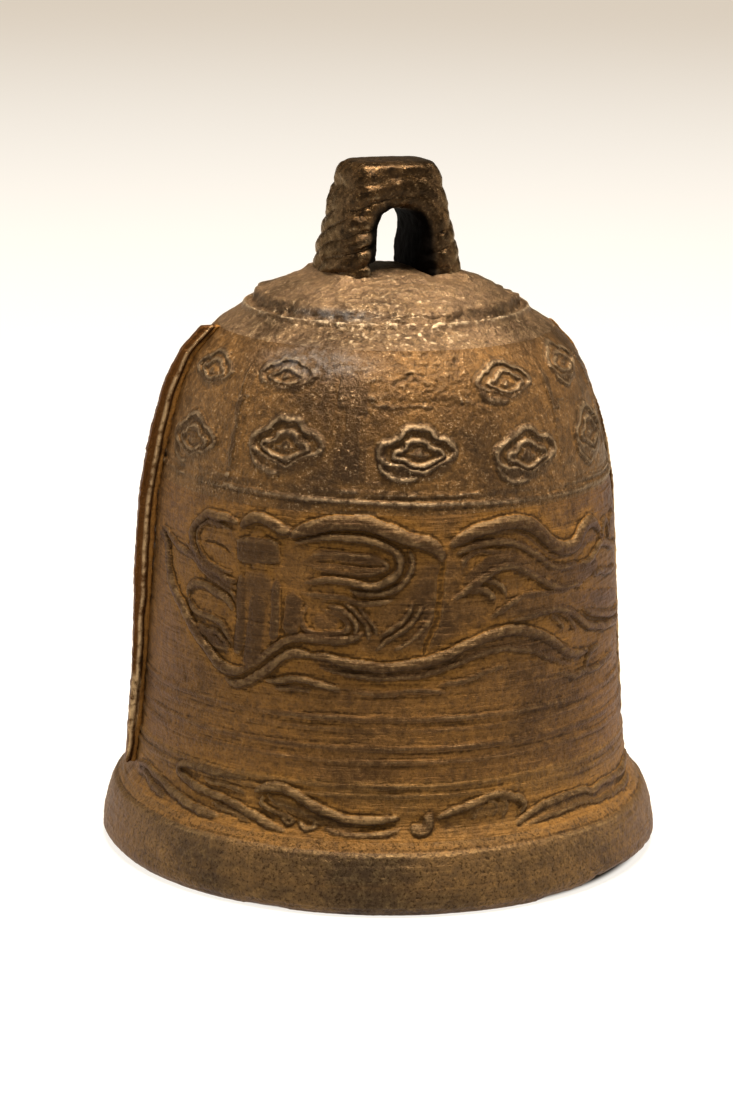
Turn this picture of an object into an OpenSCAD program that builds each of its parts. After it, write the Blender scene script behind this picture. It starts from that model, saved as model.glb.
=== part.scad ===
// Small cast bronze temple bell with a hanging loop and an iron clapper.
// It stands on its lip: z = 0 is the floor, the bell's axis is the Z axis,
// and the two mould seams lie on -X and +X. Millimetres and degrees.

/* [Bell body] */
// Outside radius of the lip where it stands
lip_r = 79; // [76:0.5:80]
// Height of the body's wall, up to the crown plate
wall_top_z = 152; // [151:0.5:153]
// Thickness of the wall at the waist
wall_t = 5; // [4:0.25:6]
// Extra thickness of the sound bow at the lip
bow_extra = 1.5; // [0:0.25:2]

/* [Crown] */
// Radius of the crown plate
crown_r = 48.3; // [48:0.1:48.6]
// Height of the crown plate's middle above the floor
crown_top_z = 168.5; // [167:0.5:170]

/* [Hanging loop] */
// Height of the loop's top, which is the bell's height
loop_top_z = 200; // [198:0.5:204]
// Width of the loop across its two legs at the crown
loop_w = 40; // [38:0.5:42]
// Depth of the loop, front to back, at the crown
loop_d = 29; // [26:0.5:32]
// Turn of the loop away from the seams
loop_turn = 8; // [0:1:12]
// Width of the loop's window at the crown
window_w = 20.5; // [18:0.5:21]
// Height of the window's top
window_top_z = 187.5; // [184:0.5:188]

/* [Ornament] */
// How far the cloud medallions stand out
medallion_h = 1.4; // [0.8:0.1:2]
// How far the frieze's ribbons stand out
frieze_h = 1.2; // [0.8:0.1:2]
// How far the plain raised lines stand out
line_h = 0.9; // [0.5:0.1:1.5]
// How far the cloud scrolls of the lower border stand out
scroll_h = 1.3; // [0.8:0.1:2]
// How far the left mould seam's fin stands out
fin_left_h = 5.5; // [3:0.25:6]
// How far the right mould seam's fin stands out
fin_right_h = 2.75; // [2:0.25:5]
// Thickness of the fins
fin_t = 3; // [2:0.25:4]

/* [Clapper] */
// Radius of the staple's rod
staple_rod_r = 2.8; // [2.4:0.1:3]
// Radius of the link's and the eye's rod
link_rod_r = 2.2; // [1.8:0.1:2.2]
// Radius of the clapper's bob
bob_r = 14; // [12:0.5:14.5]
// Height of the bob's centre
bob_z = 24; // [22:0.5:28]
// Running clearance where the rods hang on each other
hang_gap = 0.3; // [0.2:0.05:0.5]

/* [Hidden] */
$fn = 96;

// Height where the sound bow ends and the wall starts
bow_top_z = 20;

// Outside of the bell from the lip to the crown, as [radius, height]
outside = [[lip_r, 0], [lip_r + 2, 2], [lip_r + 2.3, 6], [lip_r + 1.2, 11],
           [lip_r - 0.8, 16], [lip_r - 3.6, bow_top_z], [73.2, 23], [72.2, 28],
           [70.9, 38], [69.6, 52], [68.6, 68], [67.6, 84], [66.3, 103],
           [64.2, 115], [61.9, 126], [58.6, 137], [54.2, 145.5],
           [crown_r, wall_top_z]];
bow_points = 5;              // the last of these points is the bow's top

// Radius of the outside at a height
function outside_r(z) = lookup(z, [for (p = outside) [p[1], p[0]]]);

// Outline of the inside: the outside moved in by the wall's thickness
function inside_r(z) = outside_r(z) - wall_t - bow_extra * max(0, 1 - z / 40)
                       - (z > 130 ? (z - 130) * 0.08 : 0);
inside_z = [0, 6, 14, bow_top_z, 28, 52, 84, 103, 115, 126, 137, 145.5, wall_top_z];
function inside_at(z) = [z < 3 ? lip_r - 4.5 : inside_r(z), z];

bronze = "#7d5636";
pale_bronze = "#94693f";
dark_bronze = "#4e3a2c";
iron = "#45403c";

// Rod centres of the staple, the link and the eye
staple_w = 18;               // between the staple's legs
bar_z = 129;                 // the staple's level bar, which the link hangs on
rod_corner = 5;              // bend radius of the staple and the link
link_w = 19;
link_h = 19;
link_z = bar_z + staple_rod_r + link_rod_r + hang_gap - link_h / 2;
eye_pivot_z = link_z - link_h / 2;                    // the link's lower bar
eye_r = 6.5;
eye_z = eye_pivot_z + 2 * link_rod_r + hang_gap - eye_r;
shank_r = 3.3;
washer_t = 1.6;
bob_foot_z = bob_z - sqrt(pow(bob_r, 2) - pow(6, 2)); // flat under the bob

// A skin of the given height all over the outside, which ornaments are cut from
module skin(h) {
    inner = [for (p = outside) p];
    outer = [for (i = [len(outside) - 1 : -1 : 0]) [outside[i][0] + h, outside[i][1]]];
    rotate_extrude() polygon(concat(inner, outer));
}

// Cuts its 2D child out of the skin, as seen by somebody who faces the
// bell at an angle; the child's Y is the height above the floor
module on_skin(angle, h) {
    intersection() {
        skin(h);
        rotate([0, 0, angle]) rotate([90, 0, 0])
            translate([0, 0, 20]) linear_extrude(80) children();
    }
}

// Flat outline of a ribbon along points given as [angle, height], as seen
// from the angle a0; the ends taper to a third of the width
function flat_point(p, a0) = [outside_r(p[1]) * sin(p[0] - a0), p[1]];
function side_of(pts, i) =
    let (a = pts[max(0, i - 1)], b = pts[min(len(pts) - 1, i + 1)], d = b - a)
    [-d[1], d[0]] / norm(d);
function ribbon_outline(pts, w) =
    let (n = len(pts),
         half = [for (i = [0 : n - 1]) (i == 0 || i == n - 1) ? w / 6 : w / 2])
    concat([for (i = [0 : n - 1]) pts[i] + half[i] * side_of(pts, i)],
           [for (i = [n - 1 : -1 : 0]) pts[i] - half[i] * side_of(pts, i)]);

module ribbon(points, w, h) {
    a0 = (points[0][0] + points[len(points) - 1][0]) / 2;
    on_skin(a0, h)
        polygon(ribbon_outline([for (p = points) flat_point(p, a0)], w));
}

// Closed outline of a cloud medallion with four lobes, wider than it is high
function cloud_outline(w, h, z) =
    [for (t = [0 : 15 : 345])
        let (k = 0.86 + 0.14 * cos(4 * t)) [w / 2 * k * cos(t), z + h / 2 * k * sin(t)]];

// A plain raised line round the bell, broken where the seams' fins cross it
module raised_line(z, w) {
    difference() {
        rotate_extrude() polygon([[outside_r(z - w / 2), z - w / 2],
                                  [outside_r(z - w / 4) + line_h, z - w / 4],
                                  [outside_r(z + w / 4) + line_h, z + w / 4],
                                  [outside_r(z + w / 2), z + w / 2]]);
        translate([-100, -fin_t / 2, 0]) cube([200, fin_t, loop_top_z]);
    }
}

module bell_wall() {
    color(bronze) rotate_extrude()
        polygon(concat([for (i = [bow_points : len(outside) - 1]) outside[i]],
                       [for (i = [len(inside_z) - 1 : -1 : 3]) inside_at(inside_z[i])]));
}

module sound_bow() {
    color(bronze) rotate_extrude()
        polygon(concat([for (i = [0 : bow_points]) outside[i]],
                       [for (i = [3 : -1 : 0]) inside_at(inside_z[i])]));
}

// Outline of the crown's top: a slope, a low step and a shallow cone up to the axis
slope_top_r = 40.9;
slope_top_z = wall_top_z + 4.8;
crown_top = [[crown_r, wall_top_z], [slope_top_r, slope_top_z],
             [39.8, slope_top_z + 0.9], [35.6, crown_top_z - 6.2],
             [26, crown_top_z - 3], [12, crown_top_z - 0.7], [0, crown_top_z]];

// The crown before its underside is hollowed: the loop is cut to sit on it
module crown_blank() {
    rotate_extrude() polygon(concat(crown_top, [[0, wall_top_z]]));
}

module crown_plate() {
    hollow_r = inside_r(wall_top_z);
    color(pale_bronze) difference() {
        crown_blank();
        rotate_extrude() polygon([[0, wall_top_z - 1], [hollow_r, wall_top_z - 1],
                                  [hollow_r, wall_top_z], [32, 156],
                                  [18, 159.5], [0, 161]]);
        staple_legs();
    }
}

// A point on the crown's slope, a share t of the way down and h clear of it
function slope_at(t, h) =
    let (run = crown_r - slope_top_r, drop = slope_top_z - wall_top_z,
         long = norm([run, drop]))
    [slope_top_r + run * t + h * drop / long, slope_top_z - drop * t + h * run / long];

// The thin raised line round the top of the crown's slope
ring_h = 0.8;
module crown_ring() {
    color(pale_bronze) rotate_extrude()
        polygon([slope_at(0.3, 0), slope_at(0.24, ring_h),
                 slope_at(0.1, ring_h), slope_at(0.04, 0)]);
}

// Half of the loop's outline from the crown up, as [half width, height]
loop_side = [[loop_w / 2, 158], [loop_w / 2 - 0.6, 166], [loop_w / 2 - 1.9, 172],
             [loop_w / 2 - 4, 181], [loop_w / 2 - 5.6, 189],
             [loop_w / 2 - 7, 194.5], [loop_w / 2 - 9, loop_top_z]];
loop_depth = [[loop_d / 2 + 1, 158], [loop_d / 2, 166], [loop_d / 2 - 1.6, 182],
              [loop_d / 2 - 3.4, 193], [loop_d / 2 - 6, loop_top_z]];
function both_sides(half) =
    concat(half, [for (i = [len(half) - 1 : -1 : 0]) [-half[i][0], half[i][1]]]);

module suspension_loop() {
    arch_r = window_w / 2 - 2.3;
    color(dark_bronze) difference() {
        rotate([0, 0, loop_turn]) difference() {
            intersection() {
                rotate([90, 0, 0]) translate([0, 0, -loop_d])
                    linear_extrude(2 * loop_d) polygon(both_sides(loop_side));
                rotate([90, 0, 90]) translate([0, 0, -loop_w])
                    linear_extrude(2 * loop_w) polygon(both_sides(loop_depth));
                // rounds the legs' corners
                translate([0, 0, 158])
                    cylinder(h = loop_top_z - 158, r1 = norm([loop_w, loop_d]) / 2 - 1.4, r2 = 13);
            }
            rotate([90, 0, 0]) translate([0, 0, -loop_d]) linear_extrude(2 * loop_d)
                union() {
                    polygon([[-window_w / 2, 150], [window_w / 2, 150],
                             [arch_r, window_top_z - arch_r],
                             [-arch_r, window_top_z - arch_r]]);
                    translate([0, window_top_z - arch_r]) circle(r = arch_r);
                }
        }
        crown_blank();
    }
}

// A fin of metal that ran out along a joint of the mould, and stops above the
// lip; share says how much of its height it keeps on its way up
fin_foot_z = 24;
fin_top_z = wall_top_z;
left_share = [[24, 0.5], [31, 0.7], [44, 0.76], [66, 0.85], [84, 1], [152, 1]];
right_share = [[24, 0.5], [31, 0.8], [44, 1], [115, 1], [128, 0.75], [140, 0.5], [152, 0.4]];
module seam_fin(angle, fin_h, share) {
    mid = [for (p = outside) if (p[1] > fin_foot_z && p[1] < fin_top_z) p[1]];
    edge = [for (z = concat([fin_foot_z], mid, [fin_top_z]))
               [outside_r(z) + fin_h * lookup(z, share), z]];
    color(pale_bronze) rotate([0, 0, angle]) intersection() {
        skin(fin_h);
        translate([40, -fin_t / 2, fin_foot_z]) cube([60, fin_t, fin_top_z - fin_foot_z]);
        rotate_extrude() polygon(concat([[0, fin_foot_z]], edge, [[0, fin_top_z]]));
    }
}
module seam_fin_left() { seam_fin(180, fin_left_h, left_share); }
module seam_fin_right() { seam_fin(0, fin_right_h, right_share); }

// Columns of the cloud medallions on the front half, each
// [angle, upper width, lower width]; the back half repeats them
columns = [[-71, 17, 20], [-40, 15, 19], [-4, 15, 19], [25, 17, 19], [55, 15, 18]];

module medallions(z, h, width_index) {
    for (half = [0, 180], c = columns) {
        w = c[width_index];
        on_skin(half + c[0], medallion_h) difference() {
            polygon(cloud_outline(w, h, z));
            polygon(cloud_outline(w * 0.66, h * 0.62, z));
        }
        on_skin(half + c[0], medallion_h) polygon(cloud_outline(w * 0.36, h * 0.34, z));
    }
}
module upper_medallions() { color(pale_bronze) medallions(143.2, 8.5, 1); }
module lower_medallions() { color(pale_bronze) medallions(125, 13, 2); }

// Upright ribs between the columns of medallions
rib_angles = [-55, -21, 11, 43, 73];
rib_w = 1.8;
module panel_ribs() {
    color(pale_bronze) for (half = [0, 180], a = rib_angles)
        on_skin(half + a, 0.8)
            polygon([[-rib_w / 2, 119.5], [rib_w / 2, 119.5],
                     [rib_w / 3, 147], [-rib_w / 3, 147]]);
}

module shoulder_lines() {
    color(pale_bronze) for (z = [111.4, 113.9, 116.6]) raised_line(z, 1.5);
}

// The frieze's ribbons on one half: [width, points as [angle, height]].
// The ends near the seams stop short of the fins.
frieze_ribbons = [
    // flame leaves beside the left seam
    [3.5, [[-82, 95], [-79, 92], [-76, 87], [-70, 79], [-62, 71], [-54, 66], [-47, 62.5]]],
    [2.7, [[-74, 92], [-66, 93], [-61, 90], [-54, 88], [-48, 86.5]]],
    [3.0, [[-62, 100], [-57, 103], [-51, 102.5], [-48, 97], [-51, 91.5], [-58, 91.5],
           [-62.5, 95], [-62, 99]]],
    [2.4, [[-64, 83], [-59, 84], [-53, 81], [-50, 77], [-52, 73], [-60, 76], [-65, 81]]],
    // upright stem and its cloud head
    [3.2, [[-50, 104], [-45, 106.5], [-40, 106.5], [-35, 103.5]]],
    [4.3, [[-38, 97], [-39, 90], [-38, 83], [-38.5, 76], [-40, 70], [-44, 64]]],
    // the large cloud with its long oval
    [3.5, [[-34, 102], [-28, 106], [-18, 107.5], [-10, 105], [-2, 100.5]]],
    [3.0, [[-31, 101], [-22, 103.5], [-12, 102], [-7, 97], [-10, 92], [-20, 90.5],
           [-30, 92], [-33.5, 97], [-31.5, 100.5]]],
    [2.7, [[-28, 84], [-20, 83.5], [-17, 80], [-19, 76.5], [-27, 76.5], [-30, 80],
           [-28.5, 83.5]]],
    // stalk that rises between the clouds
    [3.5, [[-14, 74], [-8, 79], [-2, 86], [3, 93], [5, 98]]],
    // flowing ribbons on the right
    [3.5, [[4, 99], [10, 104], [20, 105], [28, 101], [34, 96], [40, 95.5], [47, 99],
           [54, 98.5], [60, 95]]],
    [3.0, [[8, 86], [14, 92], [22, 94], [30, 90], [40, 87], [50, 90], [58, 91]]],
    // wave along the foot of the frieze
    [3.2, [[-47, 62], [-42, 66], [-36, 72], [-29, 75], [-20, 73]]],
    [3.2, [[-24, 69], [-14, 68], [-4, 69.5], [6, 73], [14, 77], [24, 78.5], [34, 74],
           [44, 67], [52, 63]]],
    [2.7, [[-40, 63], [-30, 64], [-20, 62]]],
    [3.0, [[20, 84], [30, 82], [42, 80.5], [52, 75], [60, 71], [70, 69]]]];

module frieze_half(turn) {
    color(pale_bronze) rotate([0, 0, turn])
        for (r = frieze_ribbons) ribbon(r[1], r[0], frieze_h);
}
module frieze_front() { frieze_half(0); }
module frieze_back() { frieze_half(180); }

module waist_lines_upper() {
    color(pale_bronze) for (z = [51, 53.6]) raised_line(z, 1.6);
}
module waist_lines_lower() {
    color(pale_bronze) for (z = [41.5, 44.5]) raised_line(z, 1.6);
}
module border_lines() {
    color(pale_bronze) for (z = [32.8, 35.2]) raised_line(z, 1.4);
}

// Cloud scrolls above the sound bow on one half, like the frieze's ribbons
border_ribbons = [
    [1.8, [[-84, 24.5], [-76, 26.5], [-68, 25], [-60, 23]]],
    [1.8, [[-66, 29.5], [-61, 27], [-57, 24.5], [-50, 26.5], [-44, 24]]],
    [2.2, [[-42, 30], [-34, 30.5], [-28, 29.5], [-22, 26.5], [-16, 25], [-8, 26]]],
    [2.0, [[-46, 28], [-40, 26], [-32, 25], [-26, 22.5]]],
    [2.4, [[-5, 27], [-3, 24], [0, 26]]],
    [2.2, [[2, 24], [6, 28.5], [13, 29.8], [19, 28.5], [17, 25], [10, 24.5], [8, 27]]],
    [2.0, [[20, 23], [27, 26], [36, 26.5], [46, 24.5], [56, 25.5], [64, 28], [74, 27]]]];

module border_half(turn) {
    color(pale_bronze) rotate([0, 0, turn])
        for (r = border_ribbons) ribbon(r[1], r[0], scroll_h);
}
module cloud_border_front() { border_half(0); }
module cloud_border_back() { border_half(180); }

// The two legs of the staple, up into the crown
module staple_legs() {
    for (side = [-1, 1]) translate([0, side * staple_w / 2, bar_z + rod_corner])
        cylinder(h = 165 - bar_z - rod_corner, r = staple_rod_r);
}

// A quarter bend of round rod about the origin, from +X to +Y
module bend(rod_r) {
    rotate_extrude(angle = 90) translate([rod_corner, 0]) circle(r = rod_r);
}

// A straight round rod along X, centred on the origin
module bar(length, rod_r) {
    rotate([0, 90, 0]) cylinder(h = length, r = rod_r, center = true);
}

module crown_staple() {
    color(iron) union() {
        staple_legs();
        translate([0, 0, bar_z]) rotate([0, 0, 90])
            bar(staple_w - 2 * rod_corner, staple_rod_r);
        for (side = [0, 180]) rotate([0, 0, side])
            translate([0, staple_w / 2 - rod_corner, bar_z + rod_corner])
                rotate([90, 0, 90]) rotate([0, 0, -90]) bend(staple_rod_r);
    }
}

module hanger_link() {
    color(iron) translate([0, 0, link_z]) rotate([90, 0, 0]) union() {
        for (side = [-1, 1]) {
            translate([0, side * link_h / 2, 0]) bar(link_w - 2 * rod_corner, link_rod_r);
            translate([side * link_w / 2, 0, 0]) rotate([0, 0, 90])
                bar(link_h - 2 * rod_corner, link_rod_r);
        }
        for (turn = [0 : 90 : 270]) rotate([0, 0, turn])
            translate([link_w / 2 - rod_corner, link_h / 2 - rod_corner, 0])
                bend(link_rod_r);
    }
}

module clapper_shank() {
    peen_z = bob_foot_z - washer_t - 2.4;
    color(iron) union() {
        translate([0, 0, eye_z]) rotate([0, 90, 0]) rotate_extrude()
            translate([eye_r, 0]) circle(r = link_rod_r);
        difference() {
            translate([0, 0, peen_z]) cylinder(h = eye_z - eye_r - peen_z, r = shank_r);
            translate([0, 0, peen_z - 1]) difference() {
                cylinder(h = 2, r = shank_r + 2);
                cylinder(h = 2, r1 = shank_r - 2, r2 = shank_r);
            }
        }
        translate([0, 0, peen_z + 1]) cylinder(h = 1.4, r = shank_r + 1);
    }
}

module clapper_bob() {
    color(dark_bronze) difference() {
        translate([0, 0, bob_z]) sphere(r = bob_r);
        translate([0, 0, bob_foot_z - 10]) cylinder(h = 10, r = bob_r);
        translate([0, 0, bob_z - bob_r]) cylinder(h = 3 * bob_r, r = shank_r);
    }
}

module bob_washer() {
    color(iron) translate([0, 0, bob_foot_z - washer_t]) difference() {
        cylinder(h = washer_t, r = 6);
        translate([0, 0, -1]) cylinder(h = washer_t + 2, r = shank_r);
    }
}

bell_wall();
sound_bow();
crown_plate();
crown_ring();
suspension_loop();
seam_fin_left();
seam_fin_right();
upper_medallions();
lower_medallions();
panel_ribs();
shoulder_lines();
frieze_front();
frieze_back();
waist_lines_upper();
waist_lines_lower();
border_lines();
cloud_border_front();
cloud_border_back();
crown_staple();
hanger_link();
clapper_shank();
clapper_bob();
bob_washer();
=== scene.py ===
# A small cast bronze temple bell on a white sweep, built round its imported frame.
import bpy
import math
import numpy as np
from mathutils import Matrix, Vector


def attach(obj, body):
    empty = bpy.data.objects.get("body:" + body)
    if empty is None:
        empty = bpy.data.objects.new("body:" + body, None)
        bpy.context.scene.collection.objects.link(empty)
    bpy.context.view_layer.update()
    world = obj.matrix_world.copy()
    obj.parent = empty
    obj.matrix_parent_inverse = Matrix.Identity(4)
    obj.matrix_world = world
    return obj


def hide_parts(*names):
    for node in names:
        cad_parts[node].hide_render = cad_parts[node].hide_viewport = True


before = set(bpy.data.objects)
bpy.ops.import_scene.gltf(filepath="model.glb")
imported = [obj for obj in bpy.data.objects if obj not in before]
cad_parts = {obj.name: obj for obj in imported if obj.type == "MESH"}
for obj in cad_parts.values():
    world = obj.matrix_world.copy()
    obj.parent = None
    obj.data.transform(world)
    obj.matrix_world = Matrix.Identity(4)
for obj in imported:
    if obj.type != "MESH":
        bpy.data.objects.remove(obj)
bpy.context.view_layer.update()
mm = 0.001


def linear(hexColour):
    channels = [int(hexColour[i:i + 2], 16) / 255 for i in (1, 3, 5)]
    return tuple(c / 12.92 if c <= 0.04045 else ((c + 0.055) / 1.055) ** 2.4
                 for c in channels) + (1.0,)


studio = dict(
    lens=107.4,                    # mm on a 36 mm sensor, long side
    eye=(-198.6, -912.2, 307.5),   # mm from the middle of the bell's foot
    turn=12.0,                     # degrees the left seam is turned towards us
    tilt=13.44,                    # degrees the camera looks down
    roll=0.83,                     # degrees the bell leans to the right
    floorWhite="#fffaf2",
    floorCream="#e0d3c2",
    paperWhite="#8a8884",
    floorGlow=0.9,
    shadeFrom=0.0765,              # metres; painted shadow: the paper's glow is cut off under the bell
    shadeTo=0.0795,
    floorReach=12.0,               # metres
    whiteTo=0.8,
    creamFrom=3.6,
    worldGrey="#b9b2a8",
    worldStrength=0.24,
    # name, place and aim (metres ahead, to the right, up), size, watts, colour
    lamps=[("topBox", (-0.12, 0.08, 1.15), (0, 0, 0.1), (0.45, 0.4), 36, "#fff0da"),
           ("leftPanel", (0.35, -1.2, 0.45), (0, 0, 0.1), (0.7, 1.0), 5, "#fff4e6"),
           ("rightPanel", (0.35, 1.2, 0.45), (0, 0, 0.1), (0.7, 1.0), 6, "#ffeed6")],
)


def makeCamera(s):
    turn, tilt, roll = (math.radians(s[k]) for k in ("turn", "tilt", "roll"))
    ahead = Vector((math.sin(turn) * math.cos(tilt), math.cos(turn) * math.cos(tilt),
                    -math.sin(tilt)))
    right = ahead.cross(Vector((0, 0, 1))).normalized()
    up = right.cross(ahead)
    side = right * math.cos(roll) + up * math.sin(roll)
    top = up * math.cos(roll) - right * math.sin(roll)
    data = bpy.data.cameras.new("camera")
    data.lens = s["lens"]
    data.sensor_width = 36
    camera = bpy.data.objects.new("camera", data)
    bpy.context.scene.collection.objects.link(camera)
    turned = Matrix((side, top, -ahead)).transposed().to_4x4()
    camera.matrix_world = Matrix.Translation(Vector(s["eye"]) * mm) @ turned
    bpy.context.scene.camera = camera
    return ahead, right


def addNode(tree, kind, inputs=None, **settings):
    node = tree.nodes.new(kind)
    for name, value in settings.items():
        setattr(node, name, value)
    for name, value in (inputs or {}).items():
        if isinstance(value, bpy.types.NodeSocket):
            tree.links.new(value, node.inputs[name])
        else:
            node.inputs[name].default_value = value
    return node


def newMaterial(name):
    material = bpy.data.materials.new(name)
    material.use_nodes = True
    material.node_tree.nodes.clear()
    return material, material.node_tree


def areaLight(name, place, aim, size, power, colour):
    data = bpy.data.lights.new(name, "AREA")
    data.shape = "RECTANGLE"
    data.size, data.size_y = size
    data.energy = power
    data.color = linear(colour)[:3]
    lamp = bpy.data.objects.new(name, data)
    bpy.context.scene.collection.objects.link(lamp)
    lamp.location = place
    lamp.rotation_euler = (Vector(aim) - Vector(place)).to_track_quat("-Z", "Y").to_euler()
    lamp.visible_camera = False


def makeFloor(s):
    # matt white paper, lit from below like a light table, and cream far away
    rim = 96
    points = [(0, 0, 0)] + [(s["floorReach"] * math.cos(2 * math.pi * i / rim),
                             s["floorReach"] * math.sin(2 * math.pi * i / rim), 0)
                            for i in range(rim)]
    faces = [(0, 1 + i, 1 + (i + 1) % rim) for i in range(rim)]
    mesh = bpy.data.meshes.new("floor")
    mesh.from_pydata(points, [], faces)
    floor = bpy.data.objects.new("floor", mesh)
    bpy.context.scene.collection.objects.link(floor)
    material, tree = newMaterial("mattPaper")
    place = addNode(tree, "ShaderNodeTexCoord").outputs["Object"]
    away = addNode(tree, "ShaderNodeVectorMath", {0: place}, operation="LENGTH").outputs["Value"]
    fade = addNode(tree, "ShaderNodeMapRange",
                   {"Value": away, "From Min": s["whiteTo"], "From Max": s["creamFrom"]},
                   interpolation_type="SMOOTHSTEP").outputs[0]
    tone = addNode(tree, "ShaderNodeMix", {0: fade, 6: linear(s["floorWhite"]),
                                           7: linear(s["floorCream"])}, data_type="RGBA")
    # painted shadow: the paper's glow fades to nothing under the bell
    glow = addNode(tree, "ShaderNodeMapRange",
                   {"Value": away, "From Min": s["shadeFrom"], "From Max": s["shadeTo"],
                    "To Max": s["floorGlow"]}, interpolation_type="SMOOTHSTEP").outputs[0]
    paper = addNode(tree, "ShaderNodeBsdfPrincipled",
                    {"Base Color": linear(s["paperWhite"]), "Roughness": 0.9,
                     "Specular IOR Level": 0.2, "Emission Color": tone.outputs[2],
                     "Emission Strength": glow})
    addNode(tree, "ShaderNodeOutputMaterial", {"Surface": paper.outputs[0]})
    mesh.materials.append(material)


def makeStudio(s):
    ahead, right = makeCamera(s)
    flat = Vector((ahead.x, ahead.y, 0)).normalized()

    def at(along, across, height):
        return flat * along + right * across + Vector((0, 0, height))
    makeFloor(s)
    for name, place, aim, size, power, colour in s["lamps"]:
        areaLight(name, at(*place), at(*aim), size, power, colour)
    world = bpy.data.worlds.new("studio")
    bpy.context.scene.world = world
    world.use_nodes = True
    back = world.node_tree.nodes["Background"]
    back.inputs["Color"].default_value = linear(s["worldGrey"])
    back.inputs["Strength"].default_value = s["worldStrength"]
    bpy.context.scene.view_settings.view_transform = "Standard"


makeStudio(studio)
print("studio ready")

cornerSteps = [(i, j, k) for i in (0, 1) for j in (0, 1) for k in (0, 1)]


def hump(away, width):
    # a smooth hill, 1 in the middle and about a third at one width from it
    return np.exp(-(away / width) ** 2)


def turnedFrom(angle, middle):
    # degrees round the bell from the middle, -180 to 180
    return (angle - middle + 180) % 360 - 180


def roughness(points, cell, seed):
    # soft lumps about one cell across, from -1 to 1; points and cell in mm
    size = 64
    gain = 1.5
    offset = 500.0
    rng = np.random.default_rng(seed)
    slopes = rng.normal(size=(size, size, size, 3)).astype(np.float32)
    slopes /= np.linalg.norm(slopes, axis=-1, keepdims=True)
    at = points / np.asarray(cell, dtype=float) + offset
    low = np.floor(at).astype(int)
    part = at - low
    ease = part ** 3 * (part * (part * 6 - 15) + 10)
    total = np.zeros(len(points))
    for corner in cornerSteps:
        index = (low + corner) % size
        weight = np.ones(len(points))
        for axis in range(3):
            weight *= ease[:, axis] if corner[axis] else 1 - ease[:, axis]
        slope = slopes[index[:, 0], index[:, 1], index[:, 2]]
        total += weight * np.einsum("ij,ij->i", slope, part - corner)
    return total * gain


def layered(points, layers):
    # sums soft lumps, one layer for each (height mm, size mm, seed)
    return sum(height * roughness(points, size, seed) for height, size, seed in layers)


def smoothPath(points, step, closed=False):
    # a Catmull-Rom curve through the points, cut about every step
    p = np.asarray(points, dtype=float)
    if closed:
        p = np.vstack([p[-1], p, p[0], p[1]])
    else:
        p = np.vstack([2 * p[0] - p[1], p, 2 * p[-1] - p[-2]])
    out = []
    for i in range(1, len(p) - 2):
        count = max(1, int(math.ceil(np.linalg.norm(p[i + 1] - p[i]) / step)))
        for t in np.arange(count) / count:
            out.append(0.5 * (2 * p[i] + (p[i + 1] - p[i - 1]) * t
                              + (2 * p[i - 1] - 5 * p[i] + 4 * p[i + 1] - p[i + 2]) * t * t
                              + (3 * p[i] - p[i - 1] - 3 * p[i + 1] + p[i + 2]) * t ** 3))
    out.append(p[-2])
    return np.array(out)


def strokeReach(x, y, line):
    # distance to a polyline, and how far along it the nearest place is, 0 to 1
    best = np.full(x.shape, 1e9)
    where = np.zeros(x.shape)
    steps = np.linalg.norm(np.diff(line, axis=0), axis=1)
    start = np.concatenate([[0], np.cumsum(steps)])
    for i in range(len(line) - 1):
        a, d = line[i], line[i + 1] - line[i]
        t = ((x - a[0]) * d[0] + (y - a[1]) * d[1]) / max(steps[i] ** 2, 1e-9)
        t = np.clip(t, 0, 1)
        gap = np.hypot(x - a[0] - t * d[0], y - a[1] - t * d[1])
        near = gap < best
        best[near] = gap[near]
        where[near] = (start[i] + t[near] * steps[i]) / start[-1]
    return best, where


def addRidge(height, x, y, points, width, rise, closed=False, blunt=0.7):
    # raises a rounded ridge (or cuts a groove, if rise is below 0) along the points
    line = smoothPath(points, 1.5, closed)
    low, high = line.min(axis=0) - width, line.max(axis=0) + width
    near = (x > low[0]) & (x < high[0]) & (y > low[1]) & (y < high[1])
    if not near.any():
        return
    gap, where = strokeReach(x[near], y[near], line)
    taper = 1.0 if closed else np.clip(np.minimum(where, 1 - where) * 7, 0, 1) ** 0.5
    half = width / 2 * (0.35 + 0.65 * taper)
    shape = np.clip(1 - (gap / half) ** 2, 0, 1) ** blunt * (0.3 + 0.7 * taper)
    if rise > 0:
        height[near] = np.maximum(height[near], rise * shape)
    else:
        height[near] += rise * shape


def softened(field, sigma):
    # Gaussian blur of a grid that closes on itself round the bell, sigma in cells
    reach = int(3 * sigma + 1)
    weights = np.exp(-0.5 * (np.arange(-reach, reach + 1) / sigma) ** 2)
    weights /= weights.sum()
    for axis in (0, 1):
        pad = [(0, 0), (0, 0)]
        pad[axis] = (reach, reach)
        wide = np.pad(field, pad, mode="edge" if axis else "wrap")
        count = field.shape[axis]
        total = 0
        for k, w in enumerate(weights):
            total = total + w * (wide[k:k + count] if axis == 0 else wide[:, k:k + count])
        field = total
    return field


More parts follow.
